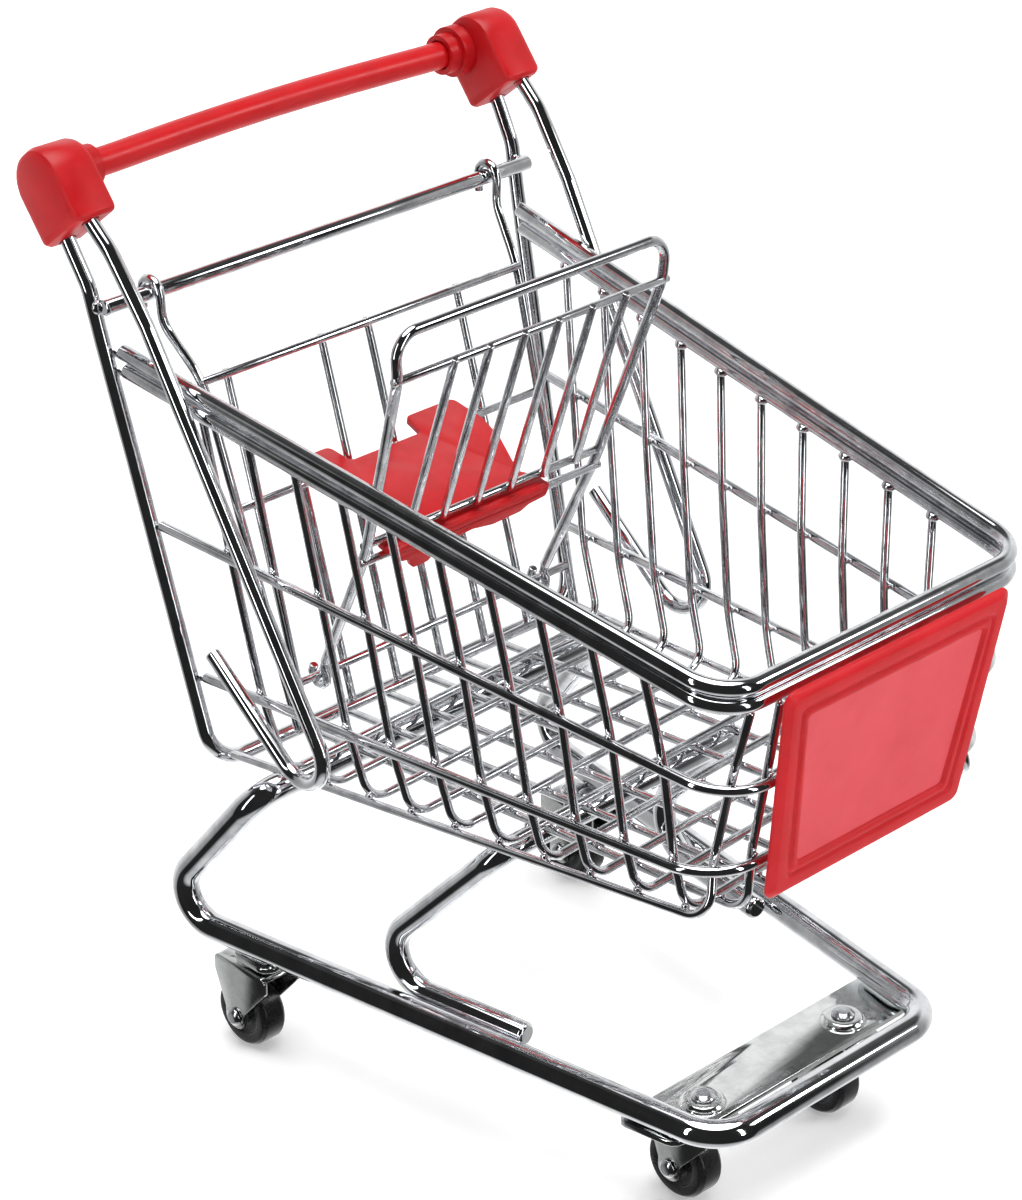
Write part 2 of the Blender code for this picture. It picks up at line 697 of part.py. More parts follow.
def caster(label, x, y, head_low, head_high, head_r):
    """One caster: rivet, stamped fork, wheel and axle. (x, y) is the swivel axis; the axle trails behind it."""
    axle_y = y + TRAIL
    low = WHEEL_R - 1.9
    fork_profile = [
        (y - 4.0, FORK_TOP), (y - 4.0, FORK_TOP - 2.6), (axle_y - 2.0, WHEEL_R + 1.0), (axle_y - 2.0, low), (axle_y + 2.0, low),
        (axle_y + 2.0, WHEEL_R + 1.0), (y + 7.2, FORK_TOP - 2.6), (y + 7.2, FORK_TOP),
    ]
    fork_outline = arc_corner_outline(fork_profile, [1.0, 0.8, 1.2, 1.7, 1.7, 1.2, 0.8, 1.0], pieces=3)
    fork = prism(f"caster_fork_{label}", fork_outline, lambda u, v, h: P(h, u, v), x - FORK_W / 2, x + FORK_W / 2, ZINC)
    inner = FORK_W / 2 - FORK_T
    hollow = helper(box(f"hollow_{label}", (x - inner, y - 8, 0), (x + inner, y + 12, FORK_TOP - FORK_T), ZINC))
    boolean(fork, hollow, "DIFFERENCE")
    cross_hole = helper(cylinder(f"axle_hole_{label}", (x - 5, axle_y, WHEEL_R), (x + 5, axle_y, WHEEL_R), AXLE_R + 0.05, ZINC, 16))
    boolean(fork, cross_hole, "DIFFERENCE")
    top_hole = helper(cylinder(f"swivel_hole_{label}", (x, y, FORK_TOP - 3), (x, y, FORK_TOP + 3), RIVET_R + 0.06, ZINC, 16))
    boolean(fork, top_hole, "DIFFERENCE")

    half = WHEEL_W / 2
    bore = AXLE_R + 0.06
    wheel_profile = [
        (bore, -half + 0.2), (1.9, -half + 0.2), (2.1, -half + 0.5), (3.2, -half + 0.5), (3.4, -half), (4.8, -half),
        (WHEEL_R, -half + 0.6), (WHEEL_R, half - 0.6), (4.8, half), (3.4, half), (3.2, half - 0.5), (2.1, half - 0.5),
        (1.9, half - 0.2), (bore, half - 0.2),
    ]
    turned(f"wheel_{label}", wheel_profile, "X", (x, axle_y, WHEEL_R), TYRE, 20, ring=True)

    tip = FORK_W / 2 + 0.12
    turned(
        f"axle_rivet_{label}",
        [
            (0, -tip - 0.65), (0.9, -tip - 0.6), (1.4, -tip - 0.25), (1.4, -tip), (AXLE_R, -tip), (AXLE_R, tip), (1.4, tip), (1.4, tip + 0.25),
            (0.9, tip + 0.6), (0, tip + 0.65),
        ],
        "X",
        (x, axle_y, WHEEL_R),
        STEEL,
        12,
    )
    under = FORK_TOP - FORK_T - 0.12
    turned(
        f"swivel_rivet_{label}",
        [
            (0, under - 0.6), (1.1, under - 0.6), (1.6, under - 0.3), (1.6, under), (RIVET_R, under), (RIVET_R, head_low), (head_r, head_low),
            (head_r, head_low + 0.2), (head_r * 0.6, head_high), (0, head_high),
        ],
        "Z",
        (x, y, 0),
        STEEL,
        12,
    )


for sign, side_name in ((-1, "left"), (1, "right")):
    caster(f"rear_{side_name}", sign * REAR_CASTER[0], REAR_CASTER[1], 15.85, 16.3, 1.55)
    caster(f"front_{side_name}", sign * FRONT_CASTER[0], FRONT_CASTER[1], 17.2, 17.9, 1.7)


# ---------------------------------------------------------------- joint axes
def joint_axis(name, place, nodes, parent=None):
    """An empty on the axis of a joint, with the pieces that turn about it as its children."""
    empty = bpy.data.objects.new(name, None)
    empty.empty_display_size = 0.01
    bpy.context.scene.collection.objects.link(empty)
    where = P(*place)
    if parent is not None:
        empty.parent = parent
        empty.location = where - Vector(parent["place"])
    else:
        empty.location = where
    empty["place"] = tuple(where)
    for node in nodes:
        piece = bpy.data.objects[node]
        piece.parent = empty
        piece.matrix_parent_inverse = Matrix.Translation(-where)
    return empty


gate_axis = joint_axis("axis_gate", (0, GATE_AXIS_Y, GATE_AXIS_Z), ["gate_grille"])
joint_axis("axis_seat_panel", (0, SEAT_AXIS_Y, SEAT_AXIS_Z), ["seat_panel_grille"], gate_axis)
joint_axis("axis_seat_flap", (0, HINGE_Y, HINGE_Z), ["seat_plate"], gate_axis)
for sign, side_name in ((-1, "left"), (1, "right")):
    for end, (x, y) in (("rear", REAR_CASTER), ("front", FRONT_CASTER)):
        label = f"{end}_{side_name}"
        swivel = joint_axis(f"axis_swivel_{label}", (sign * x, y, FORK_TOP), [f"caster_fork_{label}", f"axle_rivet_{label}"])
        joint_axis(f"axis_wheel_{label}", (sign * x, y + TRAIL, WHEEL_R), [f"wheel_{label}"], swivel)
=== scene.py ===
"""Look of the miniature wire shopping trolley: fine pieces, materials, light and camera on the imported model."""

import json
import math

import bmesh
import bpy
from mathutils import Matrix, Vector


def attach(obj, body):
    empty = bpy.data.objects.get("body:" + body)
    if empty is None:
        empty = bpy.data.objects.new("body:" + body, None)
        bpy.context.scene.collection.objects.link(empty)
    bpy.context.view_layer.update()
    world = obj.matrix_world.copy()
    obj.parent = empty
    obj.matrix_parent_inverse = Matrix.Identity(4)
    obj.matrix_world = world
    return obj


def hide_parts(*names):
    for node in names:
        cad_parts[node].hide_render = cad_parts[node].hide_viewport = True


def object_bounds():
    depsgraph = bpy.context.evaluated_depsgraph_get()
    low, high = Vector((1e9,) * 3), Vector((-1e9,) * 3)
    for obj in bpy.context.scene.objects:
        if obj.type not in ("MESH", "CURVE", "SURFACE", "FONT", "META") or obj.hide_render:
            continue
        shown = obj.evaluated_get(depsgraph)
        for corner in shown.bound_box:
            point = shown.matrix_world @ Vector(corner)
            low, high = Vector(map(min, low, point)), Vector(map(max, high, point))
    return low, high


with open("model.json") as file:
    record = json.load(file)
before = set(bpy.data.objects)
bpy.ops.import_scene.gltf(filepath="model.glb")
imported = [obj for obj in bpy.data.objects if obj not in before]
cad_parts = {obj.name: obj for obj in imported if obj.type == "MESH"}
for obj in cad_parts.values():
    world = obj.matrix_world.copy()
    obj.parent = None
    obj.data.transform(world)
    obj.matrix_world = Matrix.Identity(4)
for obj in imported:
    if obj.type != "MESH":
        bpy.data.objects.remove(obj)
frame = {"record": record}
CAD_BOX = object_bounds()
BODY_OF = {node: body for body, nodes in frame["record"]["behaviour"]["bodies"].items() for node in nodes}

MM = 0.001
Y_MID = 53.51  # middle of the trolley's length, so that the origin is at the centre of its footprint

# Wire gauges (radii)
R_BASE = 2.0
R_MID_SUPPORT = 1.75
R_FRAME = 1.15
R_RIM = 1.15
R_RING = 0.75
R_WIRE = 0.625
R_SEAT_BAR = 0.8
R_HANDLE = 2.05
GAP = 0.2

# Base frame
BASE_Z = 18.5
BASE_HALF = 21.84
BASE_SPLAY = 0.1643
BASE_CORNER = 6.3

# Basket
FLOOR_Z, FLOOR_SLOPE = 55.6, -0.094
HOOPS = 10
HOOP_SKEW = 3.0
FLOOR_WIRE_X = (3.8, 11.5, 19.1)
EDGE_WIRE_X = 26.2
RING_CORNER = 8.0

# Gate (rear flap) and its hinge rod
GATE_AXIS_Y, GATE_AXIS_Z = 101.3, 113.8
SEAT_AXIS_Y, SEAT_AXIS_Z = 79.74, 58.5

# Casters
WHEEL_R, WHEEL_W = 5.3, 4.4
FORK_W, FORK_T = 6.8, 0.6
TRAIL = 3.0
FORK_TOP = 14.7
REAR_CASTER = (33.5, 80.4)
FRONT_CASTER = (14.4, 10.2)



GROUND_SHARP = math.radians(35)
made_pieces = []
cutters = []


# ------------------------------------------------------------------ materials
def node_material(name):
    mat = bpy.data.materials.new(name)
    mat.use_nodes = True
    tree = mat.node_tree
    shader = tree.nodes["Principled BSDF"]
    coords = tree.nodes.new("ShaderNodeTexCoord")
    return mat, tree, shader, coords


def noise(tree, coords, scale, detail=3.0, rough=0.5, stretch=None, distortion=0.0):
    texture = tree.nodes.new("ShaderNodeTexNoise")
    texture.inputs["Scale"].default_value = scale
    texture.inputs["Detail"].default_value = detail
    texture.inputs["Roughness"].default_value = rough
    texture.inputs["Distortion"].default_value = distortion
    source = coords.outputs["Object"]
    if stretch is not None:
        mapping = tree.nodes.new("ShaderNodeMapping")
        mapping.inputs["Scale"].default_value = stretch
        tree.links.new(source, mapping.inputs["Vector"])
        source = mapping.outputs["Vector"]
    tree.links.new(source, texture.inputs["Vector"])
    return texture.outputs["Fac"]


def ramp(tree, source, stops):
    node = tree.nodes.new("ShaderNodeValToRGB")
    elements = node.color_ramp.elements
    elements[0].position, elements[0].color = stops[0][0], (*stops[0][1], 1)
    elements[1].position, elements[1].color = stops[-1][0], (*stops[-1][1], 1)
    for position, colour in stops[1:-1]:
        element = elements.new(position)
        element.color = (*colour, 1)
    tree.links.new(source, node.inputs["Fac"])
    return node.outputs["Color"]


def remap(tree, source, low, high, from_low=0.3, from_high=0.7):
    node = tree.nodes.new("ShaderNodeMapRange")
    node.inputs["From Min"].default_value = from_low
    node.inputs["From Max"].default_value = from_high
    node.inputs["To Min"].default_value = low
    node.inputs["To Max"].default_value = high
    tree.links.new(source, node.inputs["Value"])
    return node.outputs["Result"]


def bump(tree, shader, height, strength, distance=0.0001):
    node = tree.nodes.new("ShaderNodeBump")
    node.inputs["Strength"].default_value = strength
    node.inputs["Distance"].default_value = distance
    tree.links.new(height, node.inputs["Height"])
    tree.links.new(node.outputs["Normal"], shader.inputs["Normal"])
    return node


def metal(name, dark, light, rough_low, rough_high, bump_strength=0.05, scale=260.0):
    """Plated metal: faint clouding in the plating, small changes of gloss, and a slight ripple from the drawn wire."""
    mat, tree, shader, coords = node_material(name)
    shader.inputs["Metallic"].default_value = 1.0
    cloud = noise(tree, coords, scale, 4.0, 0.6)
    tree.links.new(ramp(tree, cloud, [(0.3, dark), (0.62, light)]), shader.inputs["Base Color"])
    smudge = noise(tree, coords, scale * 0.45, 5.0, 0.65, distortion=0.4)
    tree.links.new(remap(tree, smudge, rough_low, rough_high), shader.inputs["Roughness"])
    ripple = noise(tree, coords, scale * 3.2, 2.0, 0.5)
    bump(tree, shader, ripple, bump_strength, 0.00006)
    return mat


def plastic(name, dark, light, rough_low, rough_high, grain=2600.0, grain_strength=0.12, specular=0.5, coat=0.0):
    """Moulded plastic: slight colour mottling, a fine moulded grain, and gloss that varies with handling."""
    mat, tree, shader, coords = node_material(name)
    shader.inputs["Metallic"].default_value = 0.0
    shader.inputs["IOR"].default_value = 1.5
    shader.inputs["Specular IOR Level"].default_value = specular
    shader.inputs["Coat Weight"].default_value = coat
    mottle = noise(tree, coords, 120.0, 4.0, 0.6)
    tree.links.new(ramp(tree, mottle, [(0.3, dark), (0.7, light)]), shader.inputs["Base Color"])
    smudge = noise(tree, coords, 210.0, 5.0, 0.6, distortion=0.5)
    tree.links.new(remap(tree, smudge, rough_low, rough_high), shader.inputs["Roughness"])
    fine = noise(tree, coords, grain, 2.0, 0.5)
    broad = noise(tree, coords, 330.0, 2.0, 0.5)
    mix = tree.nodes.new("ShaderNodeMath")
    mix.operation = "MULTIPLY_ADD"
    tree.links.new(broad, mix.inputs[0])
    mix.inputs[1].default_value = 1.6
    tree.links.new(fine, mix.inputs[2])
    bump(tree, shader, mix.outputs["Value"], grain_strength, 0.00004)
    return mat


CHROME = metal("chrome_wire_fine", (0.54, 0.55, 0.57), (0.80, 0.81, 0.83), 0.04, 0.11, 0.015)
CHROME_FRAME = metal("chrome_frame_fine", (0.56, 0.57, 0.59), (0.82, 0.83, 0.85), 0.03, 0.09, 0.02, scale=180.0)
ZINC = metal("zinc_stamping_fine", (0.62, 0.64, 0.63), (0.80, 0.82, 0.81), 0.05, 0.15, 0.04, 320.0)
STEEL = metal("rivet_steel_fine", (0.44, 0.45, 0.47), (0.70, 0.71, 0.73), 0.12, 0.28, 0.06, 420.0)
RED = plastic("red_plastic_fine", (0.44, 0.0015, 0.004), (0.56, 0.003, 0.007), 0.30, 0.46, specular=0.35)
HANDLE_MAT = plastic("handle_plastic_fine", (0.50, 0.003, 0.006), (0.62, 0.006, 0.010), 0.28, 0.42, 2000.0, 0.16, specular=0.4)
TYRE = plastic("wheel_black_fine", (0.006, 0.006, 0.007), (0.018, 0.018, 0.020), 0.20, 0.36, 1800.0, 0.2)
RED_SIGN = plastic("red_sign_fine", (0.50, 0.0015, 0.005), (0.58, 0.003, 0.009), 0.32, 0.46, 2400.0, 0.10, specular=0.35)
SIGN_FIELD = plastic("red_sign_field_fine", (0.64, 0.052, 0.066), (0.70, 0.068, 0.084), 0.44, 0.58, 2800.0, 0.16, specular=0.35)


# ---------------------------------------------------------------------- tools
def P(x, y, z):
    return Vector((x * MM, (y - Y_MID) * MM, z * MM))


def link(obj):
    bpy.context.scene.collection.objects.link(obj)
    return obj


def stand_for(obj, *nodes, body=None):
    """The piece rides on the node's body and is shown instead of the node."""
    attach(obj, body or BODY_OF[nodes[0]])
    if nodes:
        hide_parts(*nodes)
    made_pieces.append(obj)
    return obj


def fillet(points, radii, cyclic=False, step=5.0):
    count = len(points)
    out = []
    for i, point in enumerate(points):
        here = Vector(point)
        radius = radii[i]
        if radius <= 0 or (not cyclic and i in (0, count - 1)):
            out.append(here)
            continue
        before = Vector(points[i - 1])
        after = Vector(points[(i + 1) % count])
        a = (before - here).normalized()
        b = (after - here).normalized()
        turn = math.pi - a.angle(b)
        if turn < math.radians(2):
            out.append(here)
            continue
        tangent = radius * math.tan(turn / 2)
        start = here + a * tangent
        centre = here + (a + b).normalized() * (radius / math.cos(turn / 2))
        pieces = max(3, math.ceil(math.degrees(turn) / step))
        first = start - centre
        axis = first.cross(here + b * tangent - centre)
        axis.normalize()
        for j in range(pieces + 1):
            angle = turn * j / pieces
            out.append(centre + first * math.cos(angle) + axis.cross(first) * math.sin(angle))
    return out


def soften(points, radius):
    """Small bends at the corners that carry no radius of their own, so that the wire never shows a kink."""
    smooth = [Vector(points[0])]
    for i in range(1, len(points) - 1):
        before, here, after = Vector(points[i - 1]), Vector(points[i]), Vector(points[i + 1])
        a, b = before - here, after - here
        turn = math.degrees(math.pi - a.angle(b)) if a.length > 1e-6 and b.length > 1e-6 else 0.0
        reach = min(a.length, b.length) * 0.42
        if turn < 1.5 or turn > 60 or reach < radius * 0.8:
            smooth.append(here)
            continue
        reach = min(reach, radius * 4.0)
        p, q = here + a.normalized() * reach, here + b.normalized() * reach
        for j in range(5):
            t = j / 4
            smooth.append(p * (1 - t) ** 2 + here * 2 * t * (1 - t) + q * t * t)
    smooth.append(Vector(points[-1]))
    return smooth


def tube_spline(curve, points, radius, cyclic=False, round_ends=True):
    pts = [Vector(p) for p in points]
    sizes = [1.0] * len(pts)
    if not cyclic and round_ends:
        for end in (0, -1):
            inner = 1 if end == 0 else -2
            direction = (pts[inner] - pts[end]).normalized()
            tip = pts[end].copy()
            rows = [(0.0, 0.72), (0.07, 0.88), (0.18, 0.97), (0.32, 1.0)]
            added = [tip + direction * radius * d for d, _ in rows]
            factors = [f for _, f in rows]
            if end == 0:
                pts = added + pts[1:]
                sizes = factors + sizes[1:]
            else:
                pts = pts[:-1] + added[::-1]
                sizes = sizes[:-1] + factors[::-1]
    spline = curve.splines.new("POLY")
    spline.points.add(len(pts) - 1)
    for target, point, size in zip(spline.points, pts, sizes):
        target.co = (*P(*point), 1.0)
        target.radius = size
    spline.use_cyclic_u = cyclic
    spline.use_smooth = True


def tube_curve(name, radius, sides=9):
    curve = bpy.data.curves.new(name, "CURVE")
    curve.dimensions = "3D"
    curve.bevel_depth = radius * MM
    curve.bevel_resolution = sides
    curve.use_fill_caps = True
    curve.twist_mode = "MINIMUM"
    return curve


rod_lines = {}


def rod(name, points, radius, mat, radii=None, cyclic=False, bevel=1, step=13.0):
    if radii is not None:
        points = fillet(points, radii, cyclic)
    if not cyclic:
        points = soften(points, radius)
    rod_lines[name] = ([Vector(p) for p in points], radius)
    curve = tube_curve(f"{name}_fine", radius)
    tube_spline(curve, points, radius, cyclic)
    curve.materials.append(mat)
    obj = link(bpy.data.objects.new(f"{name}_fine", curve))
    return stand_for(obj, name)


def grid(name, wires, mat):
    """A welded grille as one object: each wire keeps its own gauge."""
    parts = []
    for i, (points, radius, radii) in enumerate(wires):
        if radii is not None:
            points = fillet(points, radii)
        points = soften(points, radius)
        rod_lines[f"{name}:{i}"] = ([Vector(p) for p in points], radius)
        curve = tube_curve(f"{name}_{i}", radius, 7)
        tube_spline(curve, points, radius)
        parts.append(curve)
    verts, faces = [], []
    for curve in parts:
        holder = link(bpy.data.objects.new("holder", curve))
        bpy.context.view_layer.update()
        made = bpy.data.meshes.new_from_object(holder.evaluated_get(bpy.context.evaluated_depsgraph_get()))
        base = len(verts)
        verts.extend(v.co.copy() for v in made.vertices)
        faces.extend([base + i for i in polygon.vertices] for polygon in made.polygons)
        bpy.data.objects.remove(holder, do_unlink=True)
        bpy.data.meshes.remove(made)
        bpy.data.curves.remove(curve)
    obj = mesh_object(f"{name}_fine", verts, faces, mat, smooth=True, merge=False)
    return stand_for(obj, name)


def mesh_object(name, verts, faces, mat, smooth=False, merge=True):
    mesh = bpy.data.meshes.new(name)
    mesh.from_pydata([tuple(v) for v in verts], [], faces)
    work = bmesh.new()
    work.from_mesh(mesh)
    if merge:
        bmesh.ops.remove_doubles(work, verts=work.verts, dist=1e-6)
        bmesh.ops.recalc_face_normals(work, faces=work.faces)
    work.to_mesh(mesh)
    work.free()
    mesh.materials.append(mat)
    mesh.polygons.foreach_set("use_smooth", [smooth] * len(mesh.polygons))
    return link(bpy.data.objects.new(name, mesh))


def helper(obj):
    cutters.append(obj)
    obj.hide_render = True
    return obj


def boolean(obj, other, operation, use_self=False):
    modifier = obj.modifiers.new(operation.title(), "BOOLEAN")
    modifier.operation = operation
    modifier.solver = "EXACT"
    modifier.use_self = use_self
    modifier.object = other
    return modifier


def edge_finish(obj, width, segments=3, angle=32.0):
    """Rounded edges where the faces meet at more than `angle` degrees; the flat faces stay flat."""
    modifier = obj.modifiers.new("Edges", "BEVEL")
    modifier.width = width * MM
    modifier.segments = segments
    modifier.limit_method = "ANGLE"
    modifier.angle_limit = math.radians(angle)
    modifier.harden_normals = False
    modifier.use_clamp_overlap = True
    return modifier


def bake(obj, sharp=40.0):
    """Applies an object's modifiers, so that its cutters can go."""
    bpy.context.view_layer.update()
    made = bpy.data.meshes.new_from_object(obj.evaluated_get(bpy.context.evaluated_depsgraph_get()))
    obj.modifiers.clear()
    old = obj.data
    obj.data = made
    bpy.data.meshes.remove(old)
    made.polygons.foreach_set("use_smooth", [True] * len(made.polygons))
    made.set_sharp_from_angle(angle=math.radians(sharp))
    return obj


def turned(name, profile, axis, centre, mat, segments=48, ring=False):
    if ring:
        profile = profile + profile[:1]
    verts, faces = [], []
    rows = len(profile)
    for j in range(segments):
        angle = 2 * math.pi * j / segments
        for radius, height in profile:
            a, b = radius * math.cos(angle), radius * math.sin(angle)
            if axis == "X":
                verts.append(P(centre[0] + height, centre[1] + a, centre[2] + b))
            else:
                verts.append(P(centre[0] + a, centre[1] + b, centre[2] + height))
    for j in range(segments):
        k = (j + 1) % segments
        for i in range(rows - 1):
            faces.append([j * rows + i, k * rows + i, k * rows + i + 1, j * rows + i + 1])
    mesh = bpy.data.meshes.new(name)
    mesh.from_pydata([tuple(v) for v in verts], [], faces)
    work = bmesh.new()
    work.from_mesh(mesh)
    bmesh.ops.remove_doubles(work, verts=work.verts, dist=1e-7)
    bmesh.ops.dissolve_degenerate(work, edges=work.edges, dist=1e-8)
    bmesh.ops.recalc_face_normals(work, faces=work.faces)
    work.to_mesh(mesh)
    work.free()
    mesh.materials.append(mat)
    return link(bpy.data.objects.new(name, mesh))


def loops_solid(name, loops, mat, smooth=False):
    count = len(loops[0])
    verts = [v for loop in loops for v in loop]
    faces = [list(range(count))[::-1]]
    for i in range(len(loops) - 1):
        for j in range(count):
            k = (j + 1) % count
            faces.append([i * count + j, i * count + k, (i + 1) * count + k, (i + 1) * count + j])
    faces.append([(len(loops) - 1) * count + j for j in range(count)])
    return mesh_object(name, verts, faces, mat, smooth)


def arc_corner_outline(corners, radius, pieces=10):
    radii = [radius] * len(corners) if isinstance(radius, (int, float)) else radius
    flat = [(u, v, 0.0) for u, v in corners]
    count = len(flat)
    out = []
    for i, point in enumerate(flat):
        here, before, after = Vector(point), Vector(flat[i - 1]), Vector(flat[(i + 1) % count])
        a, b = (before - here).normalized(), (after - here).normalized()
        turn = math.pi - a.angle(b)
        r = radii[i]
        if r <= 0:
            out.append((here.x, here.y))
            continue
        tangent = r * math.tan(turn / 2)
        centre = here + (a + b).normalized() * (r / math.cos(turn / 2))
        first = here + a * tangent - centre
        axis = first.cross(here + b * tangent - centre).normalized()
        for j in range(pieces + 1):
            angle = turn * j / pieces
            q = centre + first * math.cos(angle) + axis.cross(first) * math.sin(angle)
            out.append((q.x, q.y))
    return out


def prism(name, outline, place, low, high, mat, bevel=0.0, smooth=False):
    loops = [[place(u, v, low) for u, v in outline], [place(u, v, high) for u, v in outline]]
    return loops_solid(name, loops, mat, smooth)


def box(name, low, high, mat):
    outline = [(low[0], low[1]), (high[0], low[1]), (high[0], high[1]), (low[0], high[1])]
    return prism(name, outline, lambda u, v, h: P(u, v, h), low[2], high[2], mat)


def cylinder(name, start, end, radius, mat, segments=48):
    a, b = P(*start), P(*end)
    along = (b - a).normalized()
    side = along.orthogonal().normalized()
    up = along.cross(side)
    loops = []
    for centre in (a, b):
        loops.append(
            [
                centre + (side * math.cos(t) + up * math.sin(t)) * radius * MM
                for t in (2 * math.pi * j / segments for j in range(segments))
            ]
        )
    return loops_solid(name, loops, mat)


def mirrored(points):
    other = [(-x, y, z) for x, y, z in reversed(points)]
    return other + list(points)


def rail_x(y):
    return BASE_HALF + BASE_SPLAY * y


def floor_z(y):
    return FLOOR_Z + FLOOR_SLOPE * y


# ---------------------------------------------------------------- base frame
base_half = [
    (rail_x(79.0), 79.0, 44.0),
    (rail_x(99.0), 99.0, BASE_Z),
    (rail_x(0.0), 0.0, BASE_Z),
]
base_loop = [(-x, y, z) for x, y, z in base_half] + base_half[::-1]
rod("base_frame_rod", base_loop, R_BASE, CHROME_FRAME, radii=[5.0, 5.5, BASE_CORNER, BASE_CORNER, 5.5, 5.0], cyclic=True, bevel=2)

support_z = 19.3


def support_x(y):
    return rail_x(y) - 4.05


support_half = [
    (support_x(39.6), 39.6, 47.6),
    (support_x(65.6), 65.6, support_z),
    (support_x(35.3), 35.3, support_z),
]
rod("mid_support_rod", mirrored(support_half), R_MID_SUPPORT, CHROME_FRAME, radii=[0, 5.9, 5.0, 5.0, 5.9, 0], bevel=2)


# ------------------------------------------------------- rear frame and braces
def post_x(z):
    return 40.5 - (121.7 - z) * 0.0615


def brace_x(z):
    return 37.2 + (z - 52.9) * 0.0450


post_line = [(87.0, 46.0), (88.9, 53.6), (98.4, 91.4), (102.9, 108.6), (104.6, 116.0), (108.3, 122.2), (110.7, 125.7)]
posts = [(post_x(z), y, z) for y, z in post_line]
posts[-1] = (posts[-2][0], *post_line[-1])
rod("rear_frame_rod", mirrored(posts), R_FRAME, CHROME_FRAME, radii=[0, 0, 6, 0, 0, 0, 6.0, 6.0, 0, 0, 0, 6, 0, 0], bevel=2)

brace_line = [(84.1, 66.3), (48.2, 37.5), (92.3, 113.6), (99.0, 122.8), (102.6, 125.9), (105.6, 128.6)]
for sign, side in ((-1, "left"), (1, "right")):
    path = [(sign * brace_x(z if i != 1 else 52.0), y, z) for i, (y, z) in enumerate(brace_line)]
    path[-1] = (path[-2][0], *brace_line[-1])
    rod(f"brace_rod_{side}", path, R_FRAME, CHROME_FRAME, radii=[0, 5.0, 8, 8, 0, 0], bevel=2, step=20)

rod("gate_hinge_rod", [(-40.3, GATE_AXIS_Y, GATE_AXIS_Z), (40.3, GATE_AXIS_Y, GATE_AXIS_Z)], R_FRAME, CHROME_FRAME, bevel=2)


# --------------------------------------------------------------- basket rods
def rim(y, drop=0.0):
    return (29.5 + 0.0853 * y, y, 91.9 + 0.1496 * y - drop)


def mid_ring(y):
    return (28.1 + 0.099 * y, y, 76.0 + 0.0659 * y)


def low_ring(y):
    return (27.7 + 0.0891 * y, y, 62.8 - 0.0349 * y)


RIM_PITCH = 2 * R_RIM + GAP
for name, drop, rear in (("rim_rod_upper", 0.0, 100.7), ("rim_rod_lower", RIM_PITCH, 100.0)):
    rod(name, mirrored([rim(-5.0, drop), rim(rear, drop)]), R_RIM, CHROME, radii=[0, 6.5, 6.5, 0], bevel=2)
rod("mid_ring", mirrored([mid_ring(-4.9), mid_ring(94.6)]), R_RING, CHROME, radii=[0, RING_CORNER, RING_CORNER, 0])
rod("low_ring", mirrored([low_ring(-2.7), low_ring(88.6)]), R_RING, CHROME, radii=[0, RING_CORNER, RING_CORNER, 0])

RING_IN = R_RING + R_WIRE + 0.15


def hoop_side(k, sign):
    """One side of a hoop, from the rim down to the floor. The hoops are welded in slightly askew: +X sits further back."""
    back = HOOP_SKEW * (sign + 1) / 2
    y_rim, y_mid, y_low, y_floor = (
        first + pitch * k + back for first, pitch in ((8.7, 8.6), (7.0, 8.44), (5.3, 8.2), (3.4, 7.94))
    )
    top = rim(y_rim, RIM_PITCH + R_RIM - 0.25)
    return [
        (sign * (top[0] - 0.7), y_rim, top[2]),
        (sign * (mid_ring(y_mid)[0] - RING_IN), y_mid, mid_ring(y_mid)[2]),
        (sign * (low_ring(y_low)[0] - RING_IN), y_low, low_ring(y_low)[2]),
        (sign * (low_ring(y_floor)[0] - RING_IN - 0.35), y_floor, floor_z(y_floor)),
    ]


for k in range(HOOPS):
    line = hoop_side(k, -1) + hoop_side(k, 1)[::-1]
    rod(f"hoop_wire_{k + 1:02d}", line, R_WIRE, CHROME, radii=[0, 0, 0, 3.5, 3.5, 0, 0, 0], step=18)


def floor_wire(name, x):
    """One lengthwise wire under the hoops: along the floor, then up the nose to the rim."""
    under = 2 * R_WIRE + 0.15
    y_rear = 85.2
    points = [
        (x, y_rear, floor_z(y_rear) - under),
        (x, -0.75, floor_z(0) - under),
        (x, -1.15, low_ring(-2.7)[2]),
        (x, -3.35, mid_ring(-4.9)[2]),
        (x, -5.2, 87.0),
    ]
    rod(name, points, R_WIRE, CHROME, radii=[0, 4.0, 0, 0, 0], step=18)


def edge_wire(name, sign):
    """The outermost lengthwise wire follows the spreading corner of the hoops and rises inside the corners of the rings."""
    rear = 85.2
    points = [
        (sign * (EDGE_WIRE_X + 0.0886 * rear), rear, floor_z(rear) + 0.25),
        (sign * EDGE_WIRE_X, -0.9, floor_z(0) + 0.15),
        (sign * 24.1, 0.8, low_ring(-2.7)[2]),
        (sign * 23.85, -1.6, mid_ring(-4.9)[2]),
        (sign * 23.6, -4.3, 87.0),
    ]
    rod(name, points, R_WIRE, CHROME, radii=[0, 3.6, 0, 0, 0], step=18)


edge_wire("floor_wire_1", -1)
for i, x in enumerate([-x for x in reversed(FLOOR_WIRE_X)] + list(FLOOR_WIRE_X)):
    floor_wire(f"floor_wire_{i + 2}", x)
edge_wire("floor_wire_8", 1)


# ---------------------------------------------------------------- sign panel
SIGN_TOP_Z, SIGN_BOTTOM_Z = 90.1, 57.0
SIGN_TOP_HALF, SIGN_BOTTOM_HALF = 21.7, 18.9
SIGN_TILT = 0.1429
SIGN_FOOT_Y = -3.2844  # back of the panel at its bottom edge


